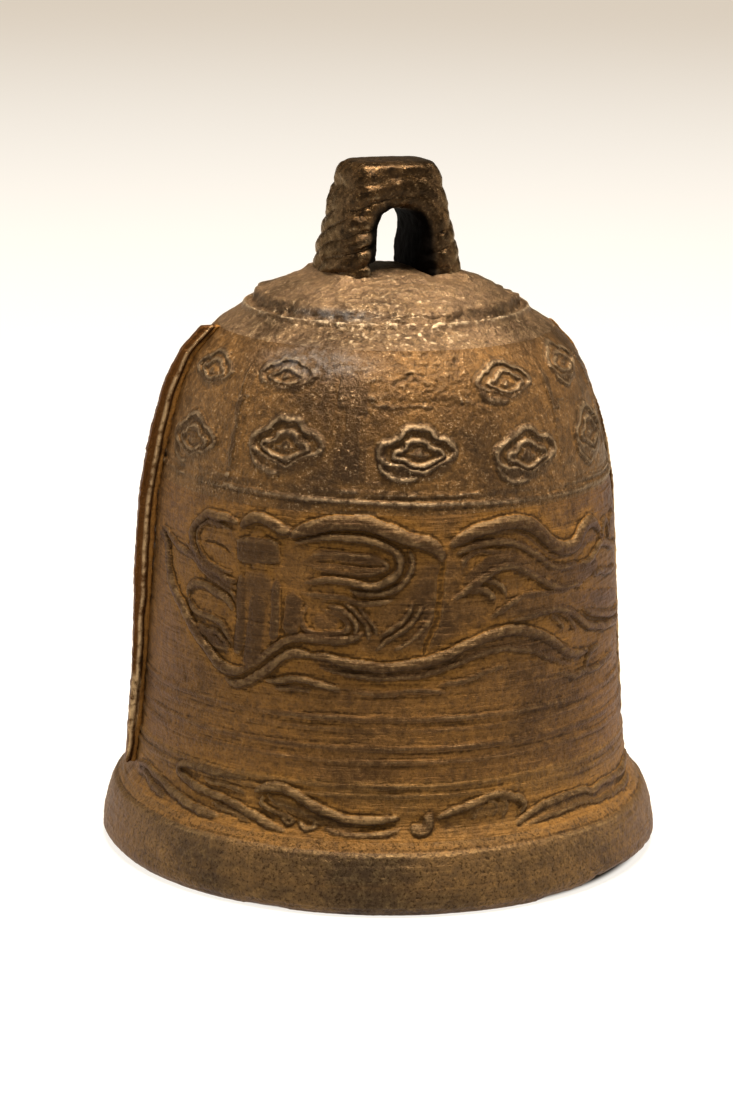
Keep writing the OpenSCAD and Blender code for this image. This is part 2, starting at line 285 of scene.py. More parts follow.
bell = dict(
    # outside from the lip's foot to the top of the wall: radius, height in mm
    outside=[(79, 0), (81, 2), (81.3, 6), (80.2, 11), (78.2, 16), (75.4, 20),
             (73.2, 23), (72.2, 28), (70.9, 38), (69.6, 52), (68.6, 68), (67.6, 84),
             (66.3, 103), (64.2, 115), (61.9, 126), (58.6, 137), (54.2, 145.5),
             (48.3, 152)],
    # crown from its edge to the axis
    crown=[(48.3, 152), (44.4, 154.5), (41.8, 156.3), (41.4, 156.9), (40.8, 158), (40.1, 157.9),
           (39.5, 157.3), (38.4, 157.4), (37.7, 158.2), (37, 160.5), (36.4, 161.4), (34.5, 162),
           (31, 163.3), (26, 165.3), (12, 167.8), (0, 168.5)],
    # inside from the lip to the crown
    inside=[(74.5, 0), (75, 6), (73, 14), (69.65, 20), (66.75, 28), (65.7, 40), (64.6, 52),
            (62.6, 84), (61.3, 103), (59.2, 115), (56.9, 126), (53, 137), (48, 145.5),
            (41.5, 152)],
    ceiling=[(41.5, 152), (32, 156), (18, 159.5), (0, 161)],
    wallTop=152.0,
    foot=(75.3, 77.0),  # radii of the flat ring it stands on
    skinLift=0.1,    # the cast skin stands this far off the plain outline
    wallDepth=0.9,   # and the wall behind it this far inside it
    lean=1.5,        # the shoulder's lines are this much higher at the left
    columns=1308,    # cells round the bell, about 0.35 mm each
    rows=423,        # cells up the wall
    # rows where one zone of the skin meets the next
    zones=dict(bow=(0, 55), border=(55, 100), waist=(100, 160), frieze=(160, 305),
               shoulder=(305, 423)),
    backing=1.3,     # depth of the skins' hidden side, mm
    # bites out of the lip's foot: angle, half width in degrees, depth in mm
    chips=[(30, 8, 0.9), (45, 11, 2.4), (57, 8, 1.7), (66, 6, 1), (-35, 5, 0.4), (140, 8, 1.2)],
    # the lip's upper edge: height in mm, rise in mm, depth of the slope under it
    ledge=(17.6, 0.8, 9),
)


def curveRadius(profile, z):
    # smooth curve through (radius, height) points
    knotR, knotZ = np.array(profile, dtype=float).T
    z = np.clip(z, knotZ[0], knotZ[-1])
    slope = np.gradient(knotR, knotZ)
    i = np.clip(np.searchsorted(knotZ, z, side="right") - 1, 0, len(knotZ) - 2)
    span = knotZ[i + 1] - knotZ[i]
    t = (z - knotZ[i]) / span
    return ((2 * t ** 3 - 3 * t ** 2 + 1) * knotR[i] + (t ** 3 - 2 * t ** 2 + t) * span * slope[i]
            + (3 * t ** 2 - 2 * t ** 3) * knotR[i + 1] + (t ** 3 - t ** 2) * span * slope[i + 1])


def groundRadius(z):
    return curveRadius(bell["outside"], z)


# Strokes are (width mm, rise mm, [(angle, height mm), ...]). The angle is seen
# from the front, 0 in the middle and -90 at the left seam. The back repeats them.

medallion = dict(
    outer=[(-1, 0.05), (-0.92, 0.36), (-0.71, 0.5), (-0.48, 0.66), (-0.36, 0.92), (-0.04, 1.04),
           (0.3, 0.93), (0.5, 0.62), (0.78, 0.54), (0.99, 0.14), (0.78, -0.16), (0.42, -0.38),
           (0.06, -0.62), (-0.3, -0.46), (-0.58, -0.34), (-0.92, -0.2)],
    inner=[(-0.66, -0.02), (-0.56, 0.16), (-0.34, 0.2), (-0.26, 0.46), (0.02, 0.6),
           (0.26, 0.44), (0.32, 0.22), (0.54, 0.16), (0.64, -0.06), (0.36, -0.28),
           (0.08, -0.44), (-0.22, -0.36), (-0.42, -0.2)],
    tail=[(-1.04, -0.1), (-0.98, -0.45), (-0.76, -0.8), (-0.4, -1), (0, -0.9)],
    # outline, share of the size, width mm, share of the rise
    contours=[("outer", 1.04, 2.5, 0.8), ("outer", 0.82, 2.0, -0.8), ("inner", 1.04, 1.9, 0.75),
              ("inner", 0.62, 1.6, -0.45)],
    dot=2.2, tailWidth=2.0, sway=0.75, swayCell=4.5, blunt=1.1,
    # rises of the parts that aren't lines, as shares of the rise
    cushionRise=0.35, tailRise=0.7, dotRise=0.6,
    # angle, height, width in degrees, height in mm, rise in mm, tail
    upper=[(-71, 142.6, 18, 9, 1.15, 0), (-41.5, 144.6, 17, 8, 1.0, 0),
           (-3, 143.5, 15, 6, 0.4, 0), (24, 143.2, 18, 9.4, 1.05, 1), (54, 145, 17, 9.8, 1.2, 1)],
    lower=[(-71, 123.4, 20, 12.6, 1.2, 1), (-38, 126.4, 19.5, 14, 1.3, 1),
           (-3.5, 125.8, 19, 13.4, 1.4, 1), (27, 123.6, 19, 13.4, 1.3, 1),
           (56.5, 125.2, 18, 14.4, 1.2, 1)],
    # flat upright bands between the columns: from angle, to angle, and their height span
    bands=[(-56, -51.5), (-25, -16.5), (38.5, 45.5), (67, 72)],
    bandSpan=(118, 149), bandRadius=58, bandRise=0.55, bandEdge=0.5,
)

frieze = [
    # flame leaves beside the left seam
    (2.4, 1.5, [(-83, 94), (-80, 94.5), (-77.5, 93), (-75.8, 89.5), (-74, 84.5), (-70.5, 80),
                (-66.5, 76.6), (-62, 72), (-57, 67.4), (-52.5, 63.8), (-48, 62.8), (-44, 64.2)]),
    (1.6, 0.8, [(-66, 74.5), (-61, 72.3), (-56.5, 71.2), (-53, 69.5), (-50, 67.2)]),
    (1.5, 0.9, [(-81, 96.4), (-77, 96), (-74, 94.6), (-71, 93.4), (-67, 92.6), (-63, 91.6),
                (-59.5, 89), (-56, 87.3), (-52.5, 86), (-50, 84.6), (-48.3, 82)]),
    (1.3, 0.8, [(-67, 95), (-64, 93.4), (-61.5, 91), (-58, 88.9), (-54.5, 88), (-51.5, 87),
                (-48.5, 86.2)]),
    (1.9, 1.2, [(-49, 104.6), (-52.5, 105.3), (-56, 104.4), (-59, 104.8), (-62, 102.8),
                (-64.3, 99.8), (-64.6, 96.8), (-63.2, 93.8), (-60, 91.2), (-56.5, 89.6),
                (-52.5, 88.3), (-49, 88)]),
    (1.0, 0.8, [(-50.5, 102), (-55, 102.7), (-59, 102.6), (-61.8, 100.4), (-62.4, 97.2),
                (-60.6, 93.8), (-57, 91.4), (-53, 90.2), (-50, 90.6)]),
    (1.4, -0.5, [(-60, 97), (-56.5, 97.3), (-53, 96.6), (-50.5, 95.6)]),
    (1.7, 1.1, [(-65, 80.2), (-64.6, 82.6), (-62, 84.4), (-58, 84.6), (-54, 83.6), (-51, 82.4),
                (-49.4, 80)]),
    (1.5, 0.9, [(-64.8, 79.8), (-63, 77.8), (-60, 76.4), (-56.5, 76.3), (-53.2, 75.4),
                (-51, 73.4), (-49.5, 70.6)]),
    (1.4, 0.8, [(-61, 74), (-58, 72.7), (-54, 72.4), (-51.2, 70.4), (-51, 68.4), (-54.5, 69),
                (-58, 71.4)]),
    # upright stem with its worn head
    (2.8, 1.0, [(-47, 90), (-47.2, 84), (-46.8, 78), (-47, 72), (-48, 68)]),
    (4.6, 1.2, [(-42.6, 86), (-42.4, 80), (-42.8, 74), (-43.4, 68), (-45, 65)]),
    (2.4, 1.0, [(-37.6, 90), (-37.8, 84), (-37.6, 78), (-38, 73)]),
    (4.0, 0.9, [(-33, 87), (-33, 82), (-33.4, 78), (-34.2, 75.6)]),
    (2.2, 1.6, [(-48, 103.6), (-45.5, 106), (-42, 106.6), (-39, 105.4), (-36.5, 104),
                (-34.6, 104.8)]),
    # band that crosses under the stem and turns into the foot wave
    (1.8, 1.2, [(-50.5, 60.2), (-47, 59.4), (-44, 60.6), (-41, 63), (-38, 66), (-35, 69),
                (-31.5, 70.6), (-28, 70.4)]),
    (1.9, 1.1, [(-46, 63), (-43, 65.4), (-40, 68.4), (-37.5, 71), (-34.5, 73.5), (-31, 74.9),
                (-27, 75.3), (-23, 74.8), (-19, 75.6), (-16.4, 77.2)]),
    # large cloud and its long oval
    (3.0, 1.9, [(-34.4, 103), (-31, 105), (-27, 106.3), (-22.5, 107.2), (-18, 107.6),
                (-14, 106.9), (-10, 105.2), (-6, 103.4), (-2, 102.2), (0.8, 100.4), (2, 97.6)]),
    (1.7, 1.2, [(-33, 101.2), (-29.5, 102.5), (-25, 103.3), (-20.5, 103.6), (-16, 103.2),
                (-12, 101.7), (-9, 99.6), (-7.8, 97), (-8.6, 94), (-10.8, 91.7), (-14.4, 90.3),
                (-19, 91), (-23, 91.7), (-27, 91.1), (-30.4, 90.6)]),
    (1.3, 0.9, [(-6, 100.6), (-5.2, 97), (-6.4, 93), (-8.6, 90.2), (-11.6, 88.6), (-16, 88.1),
                (-20, 88.9)]),
    (1.2, 0.6, [(-31, 96.4), (-27, 98.2), (-21.5, 99), (-15.5, 98.4), (-11, 96), (-14, 94.1),
                (-20, 93.8), (-26.5, 94.6), (-31, 96.4)]),
    (1.2, -0.4, [(-28, 96.4), (-22, 96.6), (-16, 96.2), (-12.6, 95.8)]),
    (1.3, 0.6, [(-31, 87.6), (-27, 87.4), (-22, 86.8), (-18, 85.8), (-14, 85.6), (-9.6, 87)]),
    # small cloud under it
    (1.2, 0.9, [(-24.5, 84.4), (-21.5, 83.4), (-19, 81.6), (-17.6, 79.2), (-18.4, 76.8)]),
    (1.0, 0.7, [(-21, 85.4), (-18.4, 83.6), (-16.4, 80.8), (-15.2, 78.2), (-15, 75.6)]),
    (0.9, 0.6, [(-17.4, 85), (-15.6, 81.6), (-14, 79.6), (-13.2, 77)]),
    (1.4, 0.7, [(-29.5, 84.4), (-31, 80.6), (-29.6, 77.2), (-25, 76.6), (-21, 77.4),
                (-19.8, 79.6), (-22, 82), (-26, 83.4)]),
    (2.0, 0.5, [(-27.4, 80.2), (-24.6, 80), (-22.4, 79.6)]),
    # stalks that lean out to the right
    (1.1, 0.7, [(-2.4, 84.8), (-4.8, 81), (-7.4, 78), (-10.8, 75.4), (-13.4, 72.6)]),
    (1.1, 0.6, [(-4.8, 85.6), (-6.6, 82), (-9.2, 79), (-12.4, 76.6)]),
    (1.0, 0.5, [(-0.8, 82), (-2.6, 78.4), (-5.6, 75.2), (-9, 72.6)]),
    (2.2, -0.8, [(2.4, 98), (1.6, 92), (1, 86), (0.4, 80), (-1.6, 75), (-2.6, 71.6)]),
    # foot wave
    (2.2, 1.5, [(-29, 70.4), (-24, 69.9), (-20, 69), (-16.6, 68.2), (-12.5, 67.8), (-8.5, 68),
                (-4.5, 68.7), (-0.5, 69.8), (3.5, 71.3), (7.5, 73.1), (11.5, 74.7), (15.5, 75.8),
                (19, 76.1), (23, 75.6), (27, 74.1), (30.4, 71.9), (33.6, 69.2), (37, 66.7),
                (41, 65.2), (46, 65)]),
    (1.5, 0.9, [(-26, 67.4), (-22.5, 66.5), (-18.5, 65.6), (-14, 65.1), (-10, 65), (-5.5, 65.4),
                (-1.5, 66.4), (3, 67.8), (8, 69.6), (12.5, 70.9), (17, 71.4), (21.5, 71),
                (26, 69.4), (30, 67), (34, 64.7), (38.5, 63)]),
    (1.4, 0.9, [(-39.4, 61.8), (-35, 62.6), (-31, 63.2), (-27.4, 62.9), (-24.4, 62), (-21.4, 61)]),
    (1.2, 0.5, [(-37, 60), (-32, 60.6), (-28, 60.4)]),
    (1.3, 0.5, [(-19, 60.8), (-13, 60.4), (-7, 60.8), (-1, 61.4), (3.4, 60.4)]),
    (1.2, 0.5, [(1, 63), (6, 63.2), (10, 64.4), (14, 65.8), (18, 66.4)]),
    # top wave on the right
    (3.0, 1.9, [(4, 101.6), (7, 103.2), (10.5, 104.5), (14.5, 105.5), (18.5, 106.2), (22, 106.1),
                (25, 105), (28, 102.8), (30.6, 100.2), (33, 97.9), (36, 96.4), (39, 96.3),
                (41.4, 97.4), (43.6, 99.4), (46.4, 101.2), (49.4, 101.4), (52, 99.8), (54, 97.6)]),
    (1.2, 0.8, [(11, 102.6), (15, 103.4), (19.5, 103.6), (23.5, 102.4), (26.6, 99.8),
                (29.6, 96.9), (33, 94.7), (37, 94), (41, 94.4)]),
    (1.7, 1.2, [(5.6, 99.2), (8.6, 100.7), (12, 101.5), (15.6, 101.3), (19.4, 100.6),
                (22.6, 99.4), (25.6, 97.5), (28.4, 95), (31.4, 92.8), (35, 91.5), (41.4, 91.3)]),
    (1.4, 0.6, [(6.6, 94.6), (7.6, 97.4), (10.4, 99.3), (14.4, 98.9), (19, 97.6)]),
    (1.7, 1.1, [(4.6, 86.6), (7.6, 88.6), (10.8, 90.8), (14, 92.9), (17.4, 94), (20.6, 93.9),
                (23.6, 92.6), (26.6, 90.4), (29.6, 88.2), (33, 86.5), (37.6, 85.5), (44, 85.3)]),
    (1.5, 0.9, [(8.6, 88.2), (10.8, 88.8), (13, 87.8), (14.8, 85.4)]),
    (1.1, 0.8, [(12.6, 90.9), (15, 90.4), (17, 88.8), (18, 86.6)]),
    (1.4, 0.7, [(13.6, 80.4), (16.6, 82), (20, 84.2), (24, 85.2), (28.4, 84.8), (34, 84.7),
                (39.4, 84)]),
    (1.8, 1.1, [(19.6, 78.7), (24, 79.3), (28, 80), (32, 80.1), (35.4, 79.4), (38.6, 77.8),
                (42, 75.3), (45, 73), (48.4, 71.3), (53, 70.4), (58, 69.4), (64, 68.4), (72, 68)]),
    (1.2, 0.7, [(34, 79.4), (37, 77), (39, 74.6), (40.4, 72.2)]),
    (1.0, 0.6, [(31.4, 78.6), (34, 76), (36, 73.6)]),
    (1.8, 1.0, [(43.6, 78.4), (47, 76), (51, 74.4), (56, 73), (62, 71.4), (70, 71.4)]),
    (1.7, 1.1, [(43, 91), (46.4, 90.4), (49.6, 91.6), (52.6, 93.2), (56, 93.9), (60, 92.6),
                (65, 91), (71, 90.6)]),
    (1.6, 0.9, [(54, 97.6), (55.2, 95.2), (56.6, 98.4), (58.6, 99.8), (60.6, 98), (61.6, 95.2),
                (63.4, 98.6), (66.4, 100), (70, 98.4)]),
    (1.6, 0.7, [(49, 86.6), (54, 85.8), (60, 84.4), (68, 84)]),
    (1.4, 0.7, [(44.6, 60.4), (45.8, 62.6), (48, 64.4), (52, 64.6)]),
    (1.5, 0.8, [(33, 61.6), (37, 60.2), (40.4, 59), (44, 59.6), (48, 59), (54, 59.4), (62, 60.2)]),
]

cloudBorder = [
    (1.6, 1.0, [(-85, 25.4), (-81, 26.2), (-77.6, 26.7), (-74.5, 26.3), (-71, 25.4),
                (-66.6, 24.2), (-61.6, 23), (-56, 22.1), (-49, 21.3)]),
    (1.3, 0.7, [(-84, 23.6), (-80, 24.4), (-76.6, 23.6), (-73, 22.6), (-67, 21.6)]),
    (1.8, 1.1, [(-43, 33.2), (-50, 33.3), (-57, 33.2), (-61.4, 32.8), (-63.8, 31.4),
                (-63.6, 29.7), (-61.2, 28.5), (-57.6, 27.6), (-53, 27), (-48.6, 26.3),
                (-44.4, 25.1), (-40.4, 23.6), (-36.6, 22), (-32.6, 20.8)]),
    (1.2, 0.6, [(-55, 30.4), (-48, 30.2), (-43, 29.2)]),
    (1.2, 0.6, [(-52, 24.2), (-46, 23.4), (-41, 22)]),
    (2.0, 1.5, [(-40.6, 30.4), (-38.6, 31.8), (-35.4, 32.4), (-32, 31.5), (-29, 30),
                (-26, 28.2), (-23, 26.6), (-19.6, 25.5), (-15.6, 25.1), (-11.6, 25.4),
                (-8, 26.2)]),
    (1.2, 0.8, [(-38.4, 29.6), (-39, 27.4), (-36.6, 26), (-33.4, 25), (-30.6, 24)]),
    (1.0, 0.7, [(-37.6, 30.4), (-36, 28.6), (-32.6, 27.6), (-29.4, 26.8), (-26.4, 25),
                (-24, 23)]),
    (1.1, 0.8, [(-33.6, 24.6), (-32.2, 22.8), (-30.6, 24)]),
    (1.1, 0.8, [(-29.8, 23.6), (-27.8, 22), (-26, 23.4), (-26.6, 24.8)]),
    (1.1, 0.7, [(-24, 22.6), (-18, 21.4), (-12, 21.6), (-7.6, 22.8)]),
    (2.2, 1.2, [(-5.4, 23.4), (-3.6, 22.6), (-1.8, 23.2), (-1.2, 25), (-0.6, 26.6)]),
    (1.7, 1.1, [(0.6, 25.4), (3.6, 26.8), (7, 28.1), (10, 29.3), (12.6, 30.5), (14.8, 30.9),
                (17, 30.2), (19, 29), (21, 28.4), (21.8, 26.4), (20.6, 24.8)]),
    (1.0, 0.8, [(13, 24.8), (14.3, 26.6), (14, 28.8), (12.2, 29)]),
    (1.0, 0.8, [(15.6, 24.6), (17, 26.6), (17, 28.6), (15.4, 29.6)]),
    (1.0, 0.7, [(9, 24.6), (9.6, 27), (11.4, 27.8)]),
    (1.6, 1.2, [(19, 22.4), (22, 23.6), (25.4, 24.8), (29.2, 25.7), (33.2, 26.1), (37.2, 26.1),
                (41, 25.8), (44, 24.9), (48, 25.4), (53, 25.1), (58, 24.6), (64, 24.4),
                (70, 25.6), (77, 25.2)]),
    (1.1, 0.7, [(21, 21.4), (26, 22.2), (32, 22.7), (39, 22.9), (45, 22.2), (52, 21.6),
                (60, 21.2), (68, 22)]),
]

# broad low bodies under the strokes
bosses = [
    (14, 1.2, [(-43, 101), (-42.6, 94)]), (11, 0.7, [(-43, 92), (-42.4, 80), (-43.6, 68)]),
    (6, 0.5, [(-29, 97), (-12, 96.6)]), (5, 0.5, [(-28, 80), (-22, 79.6)]),
    (5, 0.6, [(6, 100.5), (14, 103.2), (22, 102.6), (30, 97), (38, 94.4), (46, 97.6), (52, 96.6)]),
    (6, 0.6, [(8, 91), (18, 96.6), (28, 92), (40, 88.4), (52, 89)]),
    (6, 0.5, [(17, 80.6), (30, 82.4), (45, 80), (60, 76), (70, 75)]),
    (4.5, 0.6, [(-26, 68.8), (-10, 66.4), (4, 69.4), (18, 73.7), (30, 69.6), (42, 64)]),
    (4, 0.5, [(-37, 29), (-28, 26.4), (-16, 23.4)]), (4, 0.5, [(8, 26.4), (18, 27.4)]),
    (3.4, 0.5, [(24, 23.6), (40, 24.2), (56, 23)]),
]

# ledges and wrinkles where the metal ran cold, on the front only
flowMarks = [
    (2.0, 0.7, [(-21, 141.6), (-16, 140.6), (-9, 141), (-3, 140.3), (4, 140.6), (8.5, 139.9),
                (12, 138.7), (15, 137.3), (18, 136.5)]),
    (1.4, 0.5, [(-23, 146.2), (-18, 144.8), (-13, 145.5), (-8, 143.6), (-3, 144.4)]),
    (1.6, 0.6, [(-6, 147.2), (-1, 145.9), (5, 146.3), (9, 144.8)]),
    (1.2, 0.4, [(-31, 147.4), (-26, 148.6), (-21, 147.2), (-16, 148.4)]),
    (1.0, 0.4, [(12.4, 150), (11.6, 147.6), (12.8, 145), (12, 143)]),
    (1.2, 0.4, [(-16, 138.6), (-10, 138), (-5, 138.8), (1, 137.8)]),
]

# plain raised lines round the bell: height, width, rise, lean
bellLines = [(115.2, 1.7, 0.75, 1), (112.5, 1.7, 0.8, 1), (117.6, 1.3, 0.3, 1.6),
             (53.3, 2.0, 0.6, 0), (50.2, 1.7, 0.4, 0), (45.0, 2.0, 0.6, 0),
             (41.4, 1.8, 0.5, 0), (34.4, 1.7, 0.5, 0), (31.8, 1.6, 0.45, 0)]


strokeLook = dict(
    # how far the hand that drew them wandered along and up: mm, size, seed
    along=[(0.45, 6, 11), (0.2, 1.6, 12)],
    up=[(0.45, 6, 13), (0.2, 1.6, 14)],
    swell=1.35,      # strokes stand this much wider than they are listed
    friezeBlunt=0.42, borderBlunt=0.45, bossBlunt=0.3, lineBlunt=0.7,
)


def onSurface(angle, z, radius):
    # places at angles round the bell, seen from the front, in mm
    a = np.radians(angle)
    return np.stack([radius * np.sin(a), -radius * np.cos(a), z], -1)


def stampMedallion(height, near, x, y, halfW, halfH, rise, tail):
    # a low cushion with its two cloud lines, the spiral's tail and the dot, within near
    m = medallion

    def placed(points, size=1.0):
        return [(u * size * halfW, v * size * halfH) for u, v in points]
    cushion = np.clip(1.15 - (x / halfW) ** 2 - (y / halfH) ** 2, 0, 1)
    cushion = m["cushionRise"] * rise * np.clip(cushion * 2.5, 0, 1)
    local = np.maximum(0.4 * height[near], cushion)
    for outline, size, width, share in m["contours"]:
        addRidge(local, x, y, placed(m[outline], size), width, rise * share, True, m["blunt"])
    if tail:
        addRidge(local, x, y, placed(m["tail"]), m["tailWidth"], rise * m["tailRise"])
    dot = np.clip(1 - (x ** 2 + y ** 2) / (m["dot"] / 2) ** 2, 0, 1)
    height[near] = np.maximum(local, rise * m["dotRise"] * dot ** 0.7)


def reliefField(angle, z):
    # height of the bell's skin over its ground, in mm, on a grid of angles and heights
    s = strokeLook
    place = onSurface(angle, z, groundRadius(z)).reshape(-1, 3)

    def lumps(cell, seed):
        return roughness(place, cell, seed).reshape(angle.shape)
    dx = layered(place, s["along"]).reshape(angle.shape)
    dz = layered(place, s["up"]).reshape(angle.shape)
    height = np.zeros_like(angle)
    half = np.where(((angle + 90) % 360) < 180, 0.0, 180.0)
    front = turnedFrom(angle, half)

    def mmPerDegree(level):
        return math.radians(1) * float(groundRadius(np.array([float(level)]))[0])

    def draw(onto, strokes, swell=1.0, blunt=0.7):
        for width, rise, points in strokes:
            scale = mmPerDegree(np.mean([level for _, level in points]))
            path = [(a * scale, level) for a, level in points]
            addRidge(onto, front * scale + dx, z + dz, path, width * swell, rise, False, blunt)
    wear = 0.75 + 0.4 * lumps(14, 21)
    for level, width, rise, lean in bellLines:
        middle = level - bell["lean"] * lean * np.sin(np.radians(angle))
        gap = np.abs(z + dz * 0.6 - middle) / (width / 2)
        line = np.clip(1 - gap ** 2, 0, 1) ** s["lineBlunt"]
        height = np.maximum(height, rise * wear * line)
    edge, rise, depth = bell["ledge"]
    over = np.clip((edge + 0.5 * dz - z) / 0.9, 0, 1) * np.clip(1 - (edge - z) / depth, 0, 1)
    height = np.maximum(height, rise * over)
    raised = [stroke for stroke in frieze if stroke[1] > 0]
    cut = [stroke for stroke in frieze if stroke[1] <= 0]
    draw(height, bosses, 1, s["bossBlunt"])
    draw(height, raised, s["swell"], s["friezeBlunt"])
    draw(height, cloudBorder, s["swell"], s["borderBlunt"])
    cold = np.zeros_like(height)
    draw(cold, flowMarks)
    height = np.maximum(height, np.where(half == 0, cold, 0))
    m = medallion
    low, high = m["bandSpan"]
    bandScale = math.radians(1) * m["bandRadius"]
    upright = np.clip((z - low) / 1.5, 0, 1) * np.clip((high - z) / 6, 0, 1)
    for left, right in m["bands"]:
        inside = np.minimum(front - left, right - front) * bandScale + dx * 0.6
        band = m["bandRise"] * np.clip(inside / m["bandEdge"], 0, 1) * upright
        height = np.maximum(height, band)
    swayX = dx + m["sway"] * lumps(m["swayCell"], 15)
    swayZ = dz + 0.7 * m["sway"] * lumps(m["swayCell"], 16)
    for middle, level, wide, tall, rise, tail in m["upper"] + m["lower"]:
        scale = mmPerDegree(level)
        halfW, halfH = wide * scale / 2, tall / 2
        x = (front - middle) * scale + swayX
        y = z - level + swayZ
        near = (np.abs(x) < 1.6 * halfW) & (np.abs(y) < 1.6 * halfH)
        stampMedallion(height, near, x[near], y[near], halfW, halfH, rise, tail)
    draw(height, cut)
    return height, lumps


print("relief drawn from", len(frieze) + len(cloudBorder), "strokes")


castLook = dict(
    # lumps of the cast surface: height, size, seed
    sand=[(0.11, 0.9, 33), (0.12, 2.1, 34), (0.13, 5, 35), (0.3, 26, 36)],
    # level scratches where the mould was dragged: size, height under z, and above it
    drag=(24, 24, 0.8), dragLow=0.17, dragHigh=0.02, dragTop=118,
    # the rough patch under the crown, where the metal ran cold: angle, width, lowest z
    coldAt=-2, coldWide=19, coldFrom=136,
    cold=[(0.4, (3.6, 3.6, 1.3), 37), (0.3, (1.4, 1.4, 0.8), 38)],
    # the ornament's rise, and how deep and how wide it is undercut
    lift=1.1, undercut=0.4, undercutWide=2.2,
)


def skinField(angle, z, cell):
    # the finished skin: ornament, undercut shadows beside it, and the cast surface
    s = castLook
    height, lumps = reliefField(angle, z)
    height = s["lift"] * (height - s["undercut"] * softened(height, s["undercutWide"] / cell))
    height = height * (0.85 + 0.25 * lumps(22, 31))
    lower = np.clip((s["dragTop"] - z) / 8, 0, 1)
    drag = lumps(s["drag"], 32) * (s["dragLow"] * lower + s["dragHigh"])
    patch = hump(turnedFrom(angle, s["coldAt"]), s["coldWide"])
    patch = patch * np.clip((z - s["coldFrom"]) / 3, 0, 1)
    patch = patch * np.clip(0.75 + 0.8 * lumps(8, 39), 0, 1.3)
    place = onSurface(angle, z, groundRadius(z)).reshape(-1, 3)
    sand = layered(place, s["sand"]).reshape(z.shape)
    cold = patch * layered(place, s["cold"]).reshape(z.shape)
    return height, drag + sand + cold


def makePiece(name, points, faces):
    # points in mm; faces is a list of arrays, each with one row for each face
    mesh = bpy.data.meshes.new(name)
    sizes = np.concatenate([np.full(len(f), f.shape[1]) for f in faces])
    corners = np.concatenate([f.ravel() for f in faces])
    mesh.vertices.add(len(points))
    mesh.vertices.foreach_set("co", (np.asarray(points) * mm).ravel())
    mesh.loops.add(len(corners))
    mesh.loops.foreach_set("vertex_index", corners)
    mesh.polygons.add(len(sizes))
    starts = np.concatenate([[0], np.cumsum(sizes)[:-1]])
    mesh.polygons.foreach_set("loop_start", starts)
    mesh.polygons.foreach_set("use_smooth", np.full(len(sizes), True))
    mesh.update(calc_edges=True)
    mesh.validate()
    piece = bpy.data.objects.new(name, mesh)
    bpy.context.scene.collection.objects.link(piece)
    return piece


def addAttribute(piece, name, values):
    piece.data.attributes.new(name, "FLOAT", "POINT").data.foreach_set(
        "value", np.asarray(values, dtype=np.float32).ravel())


def meshEdges(mesh):
    ends = np.zeros(len(mesh.edges) * 2, dtype=int)
    mesh.edges.foreach_get("vertices", ends)
    return ends.reshape(-1, 2)


def creaseRim(piece, rim):
    # edges that join two rim points shade as a hard corner
    hard = rim[meshEdges(piece.data)].all(axis=1)
    piece.data.attributes.new("sharp_edge", "BOOLEAN", "EDGE").data.foreach_set("value", hard)


def strip(lower, upper, closed):
    # quads between two rows of point numbers
    if closed:
        lower, upper = np.append(lower, lower[0]), np.append(upper, upper[0])
    return np.stack([lower[:-1], lower[1:], upper[1:], upper[:-1]], -1)


columns, rows = bell["columns"], bell["rows"]
columnAngles = np.arange(columns) * 360 / columns - 90
rowHeights = np.linspace(0, bell["wallTop"], rows + 1)
cellSize = rowHeights[1]
angleGrid, heightGrid = np.meshgrid(columnAngles, rowHeights, indexing="ij")
ornament, castSkin = skinField(angleGrid, heightGrid, cellSize)
skinHeight = ornament + castSkin
skinRadius = groundRadius(heightGrid) + bell["skinLift"] + skinHeight


def chipLift(angle, z):
    # how far the lip's foot is raised where a bite is out of it
    lift = np.zeros_like(angle)
    for middle, half, depth in bell["chips"]:
        away = np.abs(turnedFrom(angle, middle)) / half
        ragged = (1 + 0.12 * np.sin(np.radians(angle) * 47 + middle)
                  + 0.1 * np.sin(np.radians(angle) * 83 + 2 * middle))
        lift = np.maximum(lift, depth * ragged * np.clip(1 - away ** 2, 0, 1) ** 0.45)
    return lift * np.clip(1 - z / 9, 0, 1) ** 1.2


skinZ = heightGrid + chipLift(angleGrid, heightGrid)
skinPoints = onSurface(angleGrid, skinZ, skinRadius)

wearAndLightLook = dict(
    # how proud of what lies this near, in mm, and how much each mm of it counts
    near=0.8, proud=0.6,
    # slopes past these get a painted highlight if they face up, and painted shade if they face
    # down
    upFrom=0.7, up=0.3, downFrom=0.35, down=0.14,
    hollowNear=3.4, hollow=1.7, hollowLeast=0.05,
    raisedFull=0.7,                # ornament this high, in mm, counts as wholly raised
    # a painted grey reflection: angle, width in degrees, and levels with their widths in mm
    greyReflectionAt=-34, greyReflectionWide=20, greyReflectionLevels=[(148.5, 4), (159.5, 1.6)],
)


def skinMarks(s):
    # wear with painted light (0.5 is level; more is rubbed pale on crests and painted highlight on
    # upward slopes, less is painted shade in grooves and on downward slopes), hollow and raised,
    # on the skin's grid
    # crests stand proud and rub pale; what lies below its neighbours gets painted shade
    wear = 0.5 + s["proud"] * (skinHeight - softened(skinHeight, s["near"] / cellSize))
    upward = -np.gradient(ornament, cellSize, axis=1)
    wear += s["up"] * np.clip(upward - s["upFrom"], 0, 1)
    wear -= s["down"] * np.clip(-upward - s["downFrom"], 0, 1)
    depth = softened(ornament, s["hollowNear"] / cellSize) - ornament
    hollow = np.clip(depth * s["hollow"] + s["hollowLeast"], 0, 1)
    return wear, hollow, np.clip(ornament / s["raisedFull"], 0, 1)


wearAndLightGrid, hollowGrid, raisedGrid = skinMarks(wearAndLightLook)


